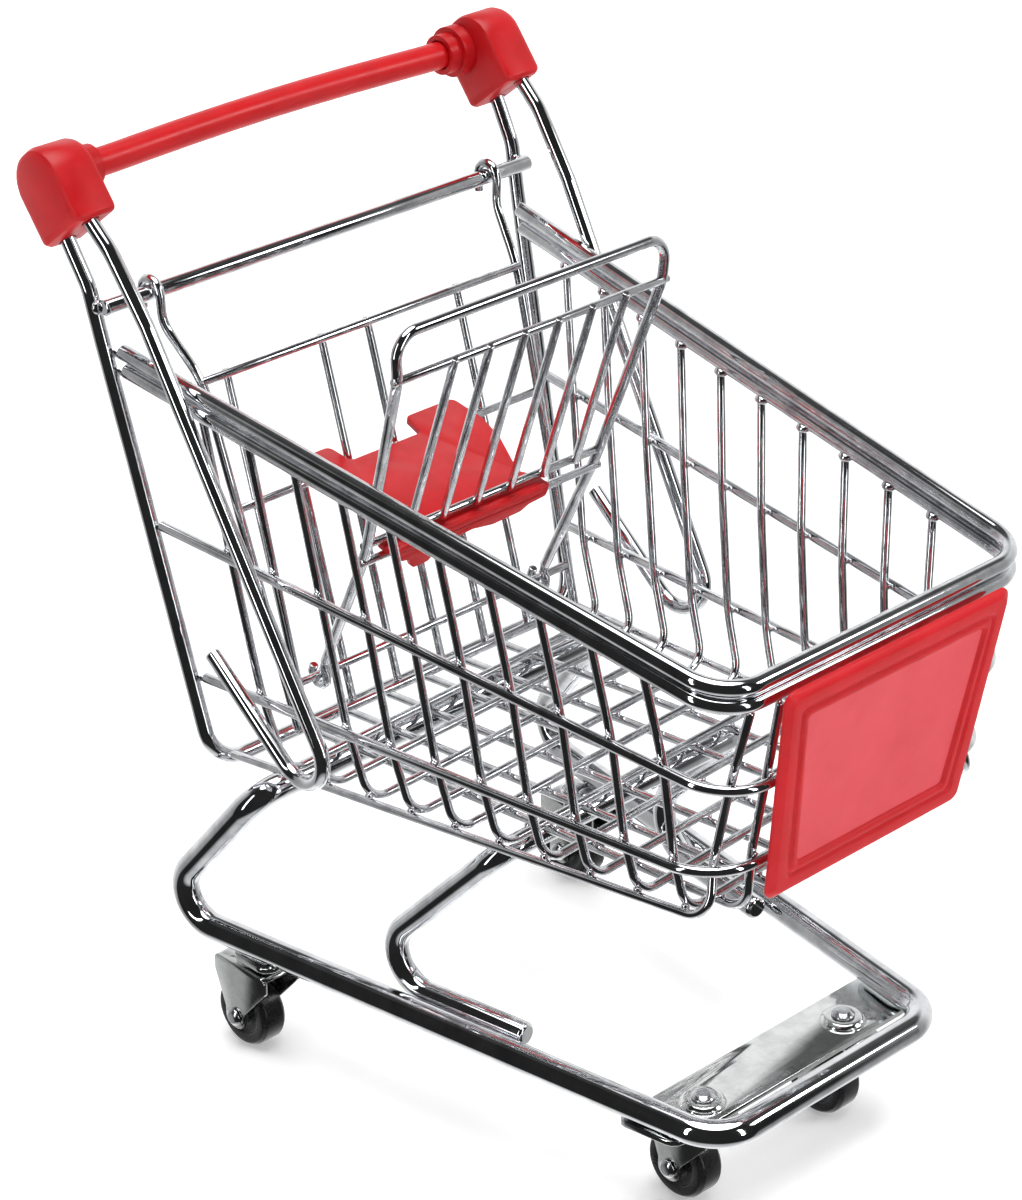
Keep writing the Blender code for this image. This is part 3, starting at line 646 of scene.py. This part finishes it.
def sign_place(u, v, depth):
    """(u, v) on the panel, v up its slope from the bottom edge; depth is how far it stands out of the back plane."""
    lean = math.atan(SIGN_TILT)
    y = SIGN_FOOT_Y - v * math.sin(lean) - depth * math.cos(lean)
    z = SIGN_BOTTOM_Z + v * math.cos(lean) - depth * math.sin(lean)
    return P(u, y, z)


sign_height = (SIGN_TOP_Z - SIGN_BOTTOM_Z) / math.cos(math.atan(SIGN_TILT))


def sign_loop(inset, depth, radius):
    top, bottom = SIGN_TOP_HALF - inset, SIGN_BOTTOM_HALF - inset
    corners = [(-bottom, inset), (bottom, inset), (top, sign_height - inset), (-top, sign_height - inset)]
    return [sign_place(u, v, depth) for u, v in arc_corner_outline(corners, radius)]


sign = loops_solid(
    "sign_panel_fine",
    [
        sign_loop(0.0, 0.0, 1.6),
        sign_loop(0.0, 0.5, 1.6),
        sign_loop(0.9, 1.2, 1.4),
        sign_loop(2.6, 1.2, 1.2),
        sign_loop(2.9, 0.9, 1.1),
        sign_loop(3.3, 0.9, 1.0),
        sign_loop(3.6, 1.2, 1.0),
        sign_loop(4.2, 1.2, 0.9),
        sign_loop(4.6, 0.75, 0.8),
    ],
    RED_SIGN,
)
edge_finish(sign, 0.16, 3, 20)
bake(sign, 50)
sign.data.materials.append(SIGN_FIELD)
facing = Vector((0, -math.cos(math.atan(SIGN_TILT)), -math.sin(math.atan(SIGN_TILT))))
middle = sign_place(0, sign_height / 2, 0)
for polygon in sign.data.polygons:
    c = polygon.center - middle
    across, along = abs(c.x) / MM, abs(c.z) / MM
    if polygon.normal.dot(facing) > 0.9 and polygon.area > 2e-4:
        polygon.material_index = 1
stand_for(sign, "sign_panel")

# --------------------------------------------------------- handle and caps
BAR_Y, BAR_Z = 112.3, 129.6
CAP_IN, CAP_OUT = 36.6, 43.6
CAP_HALF, CAP_HIGH, CAP_LEAN = 5.4, 12.6, 39.0
CAP_BASE = (105.6, 124.0)
TUBE_END = 40.6
bow = [(-TUBE_END, BAR_Y, BAR_Z), (-30.9, BAR_Y, BAR_Z)]
for j in range(1, 8):
    t = -30.9 + 61.8 * j / 8
    lift = 0.7 * math.cos(math.pi * t / 61.8)
    bow.append((t, BAR_Y + lift * 0.7, BAR_Z + lift * 0.7))
bow += [(30.9, BAR_Y, BAR_Z), (TUBE_END, BAR_Y, BAR_Z)]
rod("handle_tube", bow, R_HANDLE, HANDLE_MAT, bevel=4)

CAP_UP = (math.sin(math.radians(CAP_LEAN)), math.cos(math.radians(CAP_LEAN)))


def cap_point(w, u, x):
    y = CAP_BASE[0] - CAP_UP[1] * w + CAP_UP[0] * u
    z = CAP_BASE[1] + CAP_UP[0] * w + CAP_UP[1] * u
    return P(x, y, z)


def cap_loop(inset, x):
    half, high = CAP_HALF - inset, CAP_HIGH - inset
    corners = [(-half, inset), (half, inset), (half, high), (-half, high)]
    outline = arc_corner_outline(corners, [0.8, 0.8, 5.0 - inset, 5.0 - inset], pieces=12)
    return [cap_point(w, u, x) for w, u in outline]


for sign, side in ((-1, "left"), (1, "right")):
    cap = loops_solid(
        f"handle_cap_{side}_fine",
        [
            cap_loop(0.9, sign * CAP_IN),
            cap_loop(0.25, sign * (CAP_IN + 0.25)),
            cap_loop(0.0, sign * (CAP_IN + 0.9)),
            cap_loop(0.0, sign * (CAP_OUT - 1.2)),
            cap_loop(0.35, sign * (CAP_OUT - 0.35)),
            cap_loop(1.2, sign * CAP_OUT),
        ],
        RED,
    )
    collar = helper(cylinder(f"collar_{side}", (sign * 32.6, BAR_Y, BAR_Z), (sign * 38.0, BAR_Y, BAR_Z), 3.0, RED))
    boolean(cap, collar, "UNION")
    shoulder = helper(cylinder(f"shoulder_{side}", (sign * 34.6, BAR_Y, BAR_Z), (sign * 38.0, BAR_Y, BAR_Z), 3.8, RED))
    boolean(cap, shoulder, "UNION")
    bore = helper(cylinder(f"bore_{side}", (sign * 30.0, BAR_Y, BAR_Z), (sign * 40.9, BAR_Y, BAR_Z), R_HANDLE + GAP, RED))
    boolean(cap, bore, "DIFFERENCE")
    post_end, post_start = posts[-1], posts[-2]
    brace_end = (path[-1][0], *brace_line[-1])
    brace_start = (path[-1][0], *brace_line[-2])
    for which, start, end in (("post", post_start, post_end), ("brace", brace_start, brace_end)):
        direction = (Vector(end) - Vector(start)).normalized()
        low = Vector(start) - direction * 6
        high = Vector(end) + direction * 0.3
        hole = helper(
            cylinder(f"{which}_socket_{side}", (sign * end[0], low.y, low.z), (sign * end[0], high.y, high.z), R_FRAME + GAP, RED, 12)
        )
        boolean(cap, hole, "DIFFERENCE")
    edge_finish(cap, 0.3, 3, 30)
    bake(cap, 50)
    stand_for(cap, f"handle_cap_{side}")


# --------------------------------------------------------------------- gate
def gate_y(z):
    return 93.1 + 0.305 * (z - 102.3)


def gate_side(z):
    return 30.1 + (z - 102.3) * 0.05


GATE_TOP_Z, GATE_MID_Z, GATE_A_Z, GATE_B_Z = 102.3, 84.3, 58.5, 52.4
loop_r = R_FRAME + 0.7 + 0.15
gate_wires = []
for sign in (-1, 1):
    # The side wire ends in a hook over the hinge rod.
    lower = [
        (sign * gate_side(GATE_B_Z), gate_y(GATE_B_Z), GATE_B_Z),
        (sign * gate_side(GATE_TOP_Z), gate_y(GATE_TOP_Z), GATE_TOP_Z),
        (sign * 31.8, GATE_AXIS_Y - loop_r, 109.8),
    ]
    hook = [
        (sign * 32.0, GATE_AXIS_Y + loop_r * math.cos(t), GATE_AXIS_Z + loop_r * math.sin(t))
        for t in (math.pi * (1 - j / 6) for j in range(7))
    ]
    tail = [(sign * 32.0, GATE_AXIS_Y + loop_r - 0.1, 110.9)]
    gate_wires.append((lower + hook + tail, 0.7, None))
for z, reach in ((GATE_TOP_Z, 0.5), (GATE_MID_Z, 0.5), (GATE_A_Z, 0.4), (GATE_B_Z, 0.4)):
    half_width = gate_side(z) + reach
    offset = 0.0
    gate_wires.append(([(-half_width, gate_y(z) + offset, z), (half_width, gate_y(z) + offset, z)], R_WIRE, None))
for k in range(6):
    # Wires 1 and 4 stop at the middle bar, which leaves the two leg openings.
    x = -25.2 + 8.75 * k
    low, high = GATE_B_Z - 0.3, (GATE_MID_Z + 0.2 if k in (1, 4) else GATE_TOP_Z + 0.3)
    gate_wires.append(([(x, gate_y(low) + 0.9, low), (x, gate_y(high) + 0.9, high)], R_WIRE, None))
grid("gate_grille", gate_wires, CHROME)

# --------------------------------------------------------------- seat panel
SLOT_Z = 82.0
BAR_HIGH = (68.4, 83.4)
BAR_LOW = (68.8, 80.6)
PANEL_TOP = (25.6, 58.4, 118.6)
panel_wires = []
side = [
    (21.8, SEAT_AXIS_Y - 1.2, SEAT_AXIS_Z + 2.4),
    (22.4, 68.6, 82.0),
    (25.1, 58.6, 112.0),
    PANEL_TOP,
]
panel_wires.append((mirrored(side[::-1]), R_SEAT_BAR, [0, 0, 0, 3.5, 3.5, 0, 0, 0]))
panel_wires.append(([(-26.1, 58.5, 112.0), (26.1, 58.5, 112.0)], R_WIRE, None))
panel_wires.append(([(-23.3, *BAR_HIGH), (23.3, *BAR_HIGH)], R_WIRE, None))
panel_wires.append(([(-23.3, *BAR_LOW), (23.3, *BAR_LOW)], R_WIRE, None))
for k in range(6):
    x = -15.3 + 6.5 * k
    panel_wires.append(([(x, 57.9, 112.5), (x, 67.7, 83.2)], R_WIRE, None))
for sign in (-1, 1):
    # A hook at the foot of each side wire turns on the lowest bar of the gate.
    ring = [
        (sign * 21.8, SEAT_AXIS_Y + 1.6 * math.cos(t), SEAT_AXIS_Z + 1.6 * math.sin(t))
        for t in (math.radians(125 + 40 * j) for j in range(8))
    ]
    panel_wires.append(([(sign * 21.8, SEAT_AXIS_Y - 1.5, SEAT_AXIS_Z + 3.0)] + ring, 0.7, None))
grid("seat_panel_grille", panel_wires, CHROME)

# --------------------------------------------------------------- seat plate
PLATE_T = 0.9
HINGE_Y, HINGE_Z = gate_y(GATE_MID_Z), GATE_MID_Z
rise = math.atan2(HINGE_Z + R_WIRE + 0.2 + PLATE_T / 2 - SLOT_Z, HINGE_Y - 68.6)


def plate_point(x, along, height):
    """A point on the flap: `along` counts forwards from above the hinge wire, `height` from its middle plane."""
    y = HINGE_Y - along * math.cos(rise) - height * math.sin(rise)
    z = HINGE_Z + R_WIRE + 0.2 + PLATE_T / 2 - along * math.sin(rise) + height * math.cos(rise)
    return P(x, y, z)


# Right-hand and left-hand edges of the flap, seen from above: two tabs over the hinge wire, a waist, a broad front.
plate_outline = [
    (-15.5, 17.0), (-19.5, 18.2), (-19.5, 21.6), (11.2, 21.6), (11.2, 18.6), (9.6, 16.2),
    (13.6, 8.0), (14.8, 3.0), (14.6, -3.2), (5.2, -3.2), (4.4, 1.2), (-6.0, 1.2), (-9.2, 1.2), (-9.6, -3.2), (-16.0, -3.2), (-16.4, 3.0),
]
outline = arc_corner_outline(plate_outline, [0.8, 1.0, 1.0, 1.0, 1.0, 0.8, 2, 2, 1.0, 1.0, 0.8, 0, 0.8, 1.0, 1.0, 2], pieces=6)
plate = prism("seat_plate_fine", outline, plate_point, -PLATE_T / 2, PLATE_T / 2, RED)
lip_outline = [
    (-17.8, 0.6), (-17.8, -1.8), (-15.9, -2.2), (-15.2, -3.9), (-12.0, -3.8), (-11.0, -2.0), (-4.0, -1.5), (0.0, -2.2),
    (5.4, -2.0), (7.0, -1.3), (10.4, -1.0), (10.4, 0.6),
]
lip_outline = arc_corner_outline(lip_outline, [0, 0.6, 0.6, 0.8, 0.9, 0.8, 1.0, 1.0, 1.0, 0.6, 0.5, 0], pieces=6)
lip = helper(
    prism(
        "seat_plate_lip",
        lip_outline,
        lambda u, v, h: plate_point(u, 20.7 + h, v),
        0.0,
        PLATE_T,
        RED,
    )
)
boolean(plate, lip, "UNION")
edge_finish(plate, 0.14, 2, 40)
bake(plate, 50)
stand_for(plate, "seat_plate")

# ------------------------------------------------------ caster mounting plates
PLATE_LOW, PLATE_HIGH = 15.35, 16.2
RIVET_R = 0.8
front_half = 24.2
front_outline = arc_corner_outline(
    [(-front_half, 6.0), (front_half, 6.0), (front_half + 1.6, 16.0), (-front_half - 1.6, 16.0)], [2, 2, 1.5, 1.5], pieces=3
)
front_plate = prism("front_caster_plate_fine", front_outline, lambda u, v, h: P(u, v, h), PLATE_LOW, PLATE_HIGH, ZINC)
for sign in (-1, 1):
    x, y = sign * FRONT_CASTER[0], FRONT_CASTER[1]
    boss = helper(
        turned(f"boss_{'left' if sign < 0 else 'right'}", [(0, PLATE_LOW + 0.3), (3.4, PLATE_LOW + 0.3), (3.2, 16.6), (2.7, 17.1), (0, 17.1)], "Z", (x, y, 0), ZINC, 20)
    )
    boolean(front_plate, boss, "UNION")
for sign in (-1, 1):
    x, y = sign * FRONT_CASTER[0], FRONT_CASTER[1]
    hole = helper(cylinder(f"front_hole_{'left' if sign < 0 else 'right'}", (x, y, 14.0), (x, y, 19.0), RIVET_R + 0.06, ZINC, 16))
    boolean(front_plate, hole, "DIFFERENCE")
edge_finish(front_plate, 0.14, 3, 25)
bake(front_plate, 50)
stand_for(front_plate, "front_caster_plate")

for sign, side_name in ((-1, "left"), (1, "right")):
    x, y = sign * REAR_CASTER[0], REAR_CASTER[1]
    pad = arc_corner_outline([(x - 3.2, y - 4.2), (x + 3.2, y - 4.2), (x + 3.2, y + 4.2), (x - 3.2, y + 4.2)], 2.2, pieces=10)
    pad_obj = prism(f"rear_caster_plate_{side_name}_fine", pad, lambda u, v, h: P(u, v, h), PLATE_LOW, PLATE_HIGH, ZINC)
    hole = helper(
        turned(
            f"rear_hole_{side_name}",
            [(0, 14.0), (RIVET_R + 0.06, 14.0), (RIVET_R + 0.06, 15.75), (1.7, 15.75), (1.7, 17.0), (0, 17.0)],
            "Z",
            (x, y, 0),
            ZINC,
            20,
        )
    )
    boolean(pad_obj, hole, "DIFFERENCE")
    edge_finish(pad_obj, 0.14, 2, 40)
    bake(pad_obj, 50)
    stand_for(pad_obj, f"rear_caster_plate_{side_name}")

# ------------------------------------------------------------------- casters
AXLE_R = 0.75


def caster(label, x, y, head_low, head_high, head_r):
    """One caster: rivet, stamped fork, wheel and axle. (x, y) is the swivel axis; the axle trails behind it."""
    axle_y = y + TRAIL
    low = WHEEL_R - 1.9
    fork_profile = [
        (y - 4.0, FORK_TOP), (y - 4.0, FORK_TOP - 2.6), (axle_y - 2.0, WHEEL_R + 1.0), (axle_y - 2.0, low), (axle_y + 2.0, low),
        (axle_y + 2.0, WHEEL_R + 1.0), (y + 7.2, FORK_TOP - 2.6), (y + 7.2, FORK_TOP),
    ]
    fork_outline = arc_corner_outline(fork_profile, [1.0, 0.8, 1.2, 1.7, 1.7, 1.2, 0.8, 1.0], pieces=8)
    fork = prism(f"caster_fork_{label}_fine", fork_outline, lambda u, v, h: P(h, u, v), x - FORK_W / 2, x + FORK_W / 2, ZINC)
    inner = FORK_W / 2 - FORK_T
    hollow = helper(box(f"hollow_{label}", (x - inner, y - 8, 0), (x + inner, y + 12, FORK_TOP - FORK_T), ZINC))
    boolean(fork, hollow, "DIFFERENCE")
    cross_hole = helper(cylinder(f"axle_hole_{label}", (x - 5, axle_y, WHEEL_R), (x + 5, axle_y, WHEEL_R), AXLE_R + 0.05, ZINC, 16))
    boolean(fork, cross_hole, "DIFFERENCE")
    top_hole = helper(cylinder(f"swivel_hole_{label}", (x, y, FORK_TOP - 3), (x, y, FORK_TOP + 3), RIVET_R + 0.06, ZINC, 16))
    boolean(fork, top_hole, "DIFFERENCE")
    edge_finish(fork, 0.12, 2, 40)
    bake(fork, 50)
    stand_for(fork, f"caster_fork_{label}")

    half = WHEEL_W / 2
    bore = AXLE_R + 0.06
    wheel_profile = [
        (bore, -half + 0.2), (1.9, -half + 0.2), (2.1, -half + 0.5), (3.2, -half + 0.5), (3.4, -half), (4.8, -half),
        (WHEEL_R, -half + 0.6), (WHEEL_R, half - 0.6), (4.8, half), (3.4, half), (3.2, half - 0.5), (2.1, half - 0.5),
        (1.9, half - 0.2), (bore, half - 0.2),
    ]
    wheel = turned(f"wheel_{label}_fine", wheel_profile, "X", (x, axle_y, WHEEL_R), TYRE, 64, ring=True)
    edge_finish(wheel, 0.18, 3, 25)
    bake(wheel, 50)
    stand_for(wheel, f"wheel_{label}")

    tip = FORK_W / 2 + 0.12
    axle = turned(
        f"axle_rivet_{label}_fine",
        [
            (0, -tip - 0.65), (0.9, -tip - 0.6), (1.4, -tip - 0.25), (1.4, -tip), (AXLE_R, -tip), (AXLE_R, tip), (1.4, tip), (1.4, tip + 0.25),
            (0.9, tip + 0.6), (0, tip + 0.65),
        ],
        "X",
        (x, axle_y, WHEEL_R),
        STEEL,
        40,
    )
    edge_finish(axle, 0.1, 3, 20)
    bake(axle, 50)
    stand_for(axle, f"axle_rivet_{label}")
    under = FORK_TOP - FORK_T - 0.12
    swivel = turned(
        f"swivel_rivet_{label}_fine",
        [
            (0, under - 0.6), (1.1, under - 0.6), (1.6, under - 0.3), (1.6, under), (RIVET_R, under), (RIVET_R, head_low), (head_r, head_low),
            (head_r, head_low + 0.2), (head_r * 0.6, head_high), (0, head_high),
        ],
        "Z",
        (x, y, 0),
        STEEL,
        40,
    )
    edge_finish(swivel, 0.1, 3, 20)
    bake(swivel, 50)
    stand_for(swivel, f"swivel_rivet_{label}")


for sign, side_name in ((-1, "left"), (1, "right")):
    caster(f"rear_{side_name}", sign * REAR_CASTER[0], REAR_CASTER[1], 15.85, 16.3, 1.55)
    caster(f"front_{side_name}", sign * FRONT_CASTER[0], FRONT_CASTER[1], 17.2, 17.9, 1.7)




for cutter in cutters:
    bpy.data.objects.remove(cutter, do_unlink=True)

# ---------------------------------------------------------------------- welds
def closest(seg_a, seg_b):
    """Where two centre-line pieces pass nearest to each other: (distance, point on a, point on b)."""
    p, q = seg_a
    r, s = seg_b
    u, v, w = q - p, s - r, p - r
    a, b, c, d, e = u.dot(u), u.dot(v), v.dot(v), u.dot(w), v.dot(w)
    below = a * c - b * b
    if below < 1e-9:
        return None
    t = min(1.0, max(0.0, (b * e - c * d) / below))
    k = min(1.0, max(0.0, (b * t + e) / c))
    t = min(1.0, max(0.0, (b * k - d) / a))
    on_a, on_b = p + u * t, r + v * k
    return (on_a - on_b).length, on_a, on_b


def weld_mesh(name, pairs, body, mat):
    """A small flattened bead where each pair of wires crosses."""
    work = bmesh.new()
    for point, across, along, size, thick in pairs:
        bead = bmesh.ops.create_icosphere(work, subdivisions=2, radius=1.0)
        out = across.cross(along).normalized()
        for vert in bead["verts"]:
            c = vert.co
            wobble = 1.0 + 0.07 * math.sin(5.1 * c.x + point.x * 3.1) * math.cos(4.3 * c.y + point.z * 2.7)
            q = point + along * c.x * size * 1.15 * wobble + out * c.y * size * wobble + across * c.z * thick
            vert.co = P(*q)
    mesh = bpy.data.meshes.new(name)
    work.to_mesh(mesh)
    work.free()
    mesh.materials.append(mat)
    mesh.polygons.foreach_set("use_smooth", [True] * len(mesh.polygons))
    obj = link(bpy.data.objects.new(name, mesh))
    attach(obj, body)
    return obj


def crossings(first, second, most=0.6):
    """Every place where a wire of the first group passes within `most` of touching one of the second."""
    found = []
    for a in first:
        line_a, ra = rod_lines[a]
        for b in second:
            if a == b:
                continue
            line_b, rb = rod_lines[b]
            best = {}
            for i in range(len(line_a) - 1):
                for j in range(len(line_b) - 1):
                    got = closest((line_a[i], line_a[i + 1]), (line_b[j], line_b[j + 1]))
                    if got is None or got[0] > ra + rb + most:
                        continue
                    key = (round(got[1].x / 4), round(got[1].y / 4), round(got[1].z / 4))
                    if key not in best or got[0] < best[key][0]:
                        best[key] = (*got, line_a[i + 1] - line_a[i])
            kept = []
            for distance, on_a, on_b, along in sorted(best.values(), key=lambda g: g[0]):
                if all((on_a - other).length > 3.0 for other in kept):
                    kept.append(on_a)
                    across = on_b - on_a
                    across = across.normalized() if across.length > 1e-6 else Vector((0, 0, 1))
                    middle = on_a + across * (ra + (distance - ra - rb) / 2)
                    found.append((middle, across, along.normalized(), min(ra, rb) * 0.95, 0.34 + max(0.0, distance - ra - rb) / 2))
    return found


HOOP_NAMES = [f"hoop_wire_{k + 1:02d}" for k in range(HOOPS)]
FLOOR_NAMES = [f"floor_wire_{k + 1}" for k in range(8)]
beads = crossings(HOOP_NAMES, ["mid_ring", "low_ring", "rim_rod_lower"] + FLOOR_NAMES)
beads += crossings(FLOOR_NAMES, ["mid_ring", "low_ring", "rim_rod_lower"])
beads += crossings(["gate_hinge_rod", "mid_ring", "low_ring", "rim_rod_upper", "rim_rod_lower"], ["rear_frame_rod"])
beads += crossings(FLOOR_NAMES, ["mid_support_rod", "base_frame_rod", "rear_frame_rod"])
for name in HOOP_NAMES:
    line, radius = rod_lines[name]
    for end, inner in ((0, 1), (-1, -2)):
        tip = line[end]
        up = (tip - line[inner]).normalized()
        side = Vector((0, 1, 0))
        beads.append((tip - up * 0.15, up, side, 0.95, 0.75))
weld_mesh("basket_weld_beads", beads, BODY_OF["mid_ring"], CHROME)

for grille, count in (("gate_grille", 12), ("seat_panel_grille", 12)):
    wires = [name for name in rod_lines if name.startswith(grille + ":")]
    found = []
    for i, first in enumerate(wires):
        found += crossings([first], wires[i + 1 :], 0.5)
    weld_mesh(f"{grille}_weld_beads", found, BODY_OF[grille], CHROME)

# ------------------------------------------------------------ stage and light
def area(name, location, target, size, power, colour=(1, 1, 1), shape="RECTANGLE", size_y=None):
    light = bpy.data.lights.new(name, "AREA")
    light.energy = power
    light.shape = shape
    light.size = size
    light.size_y = size_y or size
    light.color = colour
    obj = link(bpy.data.objects.new(name, light))
    obj.location = location
    obj.rotation_euler = (Vector(target) - Vector(location)).to_track_quat("-Z", "Y").to_euler()
    return obj


def pale(name, emission=0.0):
    mat, tree, shader, coords = node_material(name)
    shader.inputs["Base Color"].default_value = (0.95, 0.95, 0.95, 1)
    shader.inputs["Roughness"].default_value = 0.8
    shader.inputs["Specular IOR Level"].default_value = 0.1
    shader.inputs["Emission Color"].default_value = (1, 1, 1, 1)
    shader.inputs["Emission Strength"].default_value = emission
    return mat


floor_mesh = bpy.data.meshes.new("studio_floor")
floor_mesh.from_pydata([(-3, -3, 0), (3, -3, 0), (3, 3, 0), (-3, 3, 0)], [], [(0, 1, 2, 3)])
floor_obj = link(bpy.data.objects.new("studio_floor", floor_mesh))
floor_obj.location.z = -0.0002
floor_mesh.materials.append(pale("studio_floor", 0.30))
floor_obj.visible_glossy = False

# A pale round wall closes the studio behind the floor in every view.
wall_verts, wall_faces = [], []
for j in range(64):
    a = 2 * math.pi * j / 64
    wall_verts += [(2.9 * math.cos(a), 2.9 * math.sin(a), -0.01), (2.9 * math.cos(a), 2.9 * math.sin(a), 4.0)]
    k = (j + 1) % 64
    wall_faces.append((2 * j, 2 * k, 2 * k + 1, 2 * j + 1))
wall_mesh = bpy.data.meshes.new("studio_wall")
wall_mesh.from_pydata(wall_verts, [], wall_faces)
wall_mesh.materials.append(pale("studio_wall", 0.95))
wall_obj = link(bpy.data.objects.new("studio_wall", wall_mesh))
wall_obj.visible_glossy = False
wall_obj.visible_diffuse = False
wall_obj.visible_shadow = False

# What the plating mirrors: a bright sweep behind and below, a soft box overhead, and a dark room on the near side.
world = bpy.data.worlds.new("studio")
bpy.context.scene.world = world
world.use_nodes = True
tree = world.node_tree
background = tree.nodes["Background"]
coords = tree.nodes.new("ShaderNodeTexCoord")
split = tree.nodes.new("ShaderNodeSeparateXYZ")
tree.links.new(coords.outputs["Generated"], split.inputs["Vector"])


def grey_ramp(source, stops, low=0.0, high=1.0):
    span = tree.nodes.new("ShaderNodeMapRange")
    span.inputs["From Min"].default_value = low
    span.inputs["From Max"].default_value = high
    tree.links.new(source, span.inputs["Value"])
    shade = tree.nodes.new("ShaderNodeValToRGB")
    steps = shade.color_ramp.elements
    steps[0].position, steps[0].color = stops[0][0], (*[stops[0][1]] * 3, 1)
    steps[1].position, steps[1].color = stops[-1][0], (*[stops[-1][1]] * 3, 1)
    for position, value in stops[1:-1]:
        step = steps.new(position)
        step.color = (value, value, value, 1)
    tree.links.new(span.outputs["Result"], shade.inputs["Fac"])
    return shade.outputs["Color"]


def combine(operation, first, second):
    node = tree.nodes.new("ShaderNodeMath")
    node.operation = operation
    for socket, value in zip(node.inputs, (first, second)):
        if isinstance(value, (int, float)):
            socket.default_value = value
        else:
            tree.links.new(value, socket)
    return node.outputs["Value"]


# how far a direction points away from the front-left corner, -1 to 1
far_x = combine("MULTIPLY", split.outputs["X"], 0.694)
far_y = combine("MULTIPLY", split.outputs["Y"], 0.720)
far = combine("ADD", far_x, far_y)
height = split.outputs["Z"]
overhead = grey_ramp(height, [(0.0, 0.0), (0.945, 0.0), (0.955, 1.0), (1.0, 1.0)], -1.0, 1.0)
sweep = grey_ramp(far, [(0.0, 0.0), (0.44, 0.0), (0.50, 0.34), (0.62, 0.42), (0.80, 0.85), (1.0, 1.0)], -1.0, 1.0)
low_only = grey_ramp(height, [(0.0, 1.0), (0.78, 1.0), (0.84, 0.10), (1.0, 0.05)], -1.0, 1.0)
nadir = grey_ramp(height, [(0.0, 1.0), (0.06, 0.9), (0.14, 0.0), (1.0, 0.0)], -1.0, 1.0)
level = combine("MULTIPLY", sweep, low_only)
level = combine("ADD", level, combine("MULTIPLY", overhead, 5.2))
level = combine("ADD", level, combine("MULTIPLY", nadir, 0.7))
level = combine("ADD", level, 0.022)
joined = tree.nodes.new("ShaderNodeCombineXYZ")
for socket in joined.inputs:
    tree.links.new(level, socket)
tree.links.new(joined.outputs["Vector"], background.inputs["Color"])
background.inputs["Strength"].default_value = 1.0

area("strip_left", (-0.95, 0.05, 0.30), (0, 0, 0.06), 0.10, 2.2, size_y=0.9)
area("strip_front", (0.10, -1.05, 0.34), (0, 0, 0.06), 0.12, 2.6, size_y=0.9)
area("fill_front_right", (0.75, -0.85, 0.75), (0, 0, 0.05), 0.30, 3.2)

bpy.context.scene.view_settings.view_transform = "Standard"

# --------------------------------------------------------------------- camera
CAM_A, CAM_E = math.radians(-43.93), math.radians(27.57)
camera_data = bpy.data.cameras.new("camera")
camera_data.sensor_width = 36.0
camera_data.lens = 110.87
camera_data.clip_start = 0.01
camera_data.clip_end = 20.0
camera = link(bpy.data.objects.new("camera", camera_data))
camera.location = P(-322.8, -272.0, 311.7)
back = Vector((math.sin(CAM_A) * math.cos(CAM_E), -math.cos(CAM_A) * math.cos(CAM_E), math.sin(CAM_E)))
camera.rotation_euler = back.to_track_quat("Z", "Y").to_euler()
bpy.context.scene.camera = camera

low, high = CAD_BOX
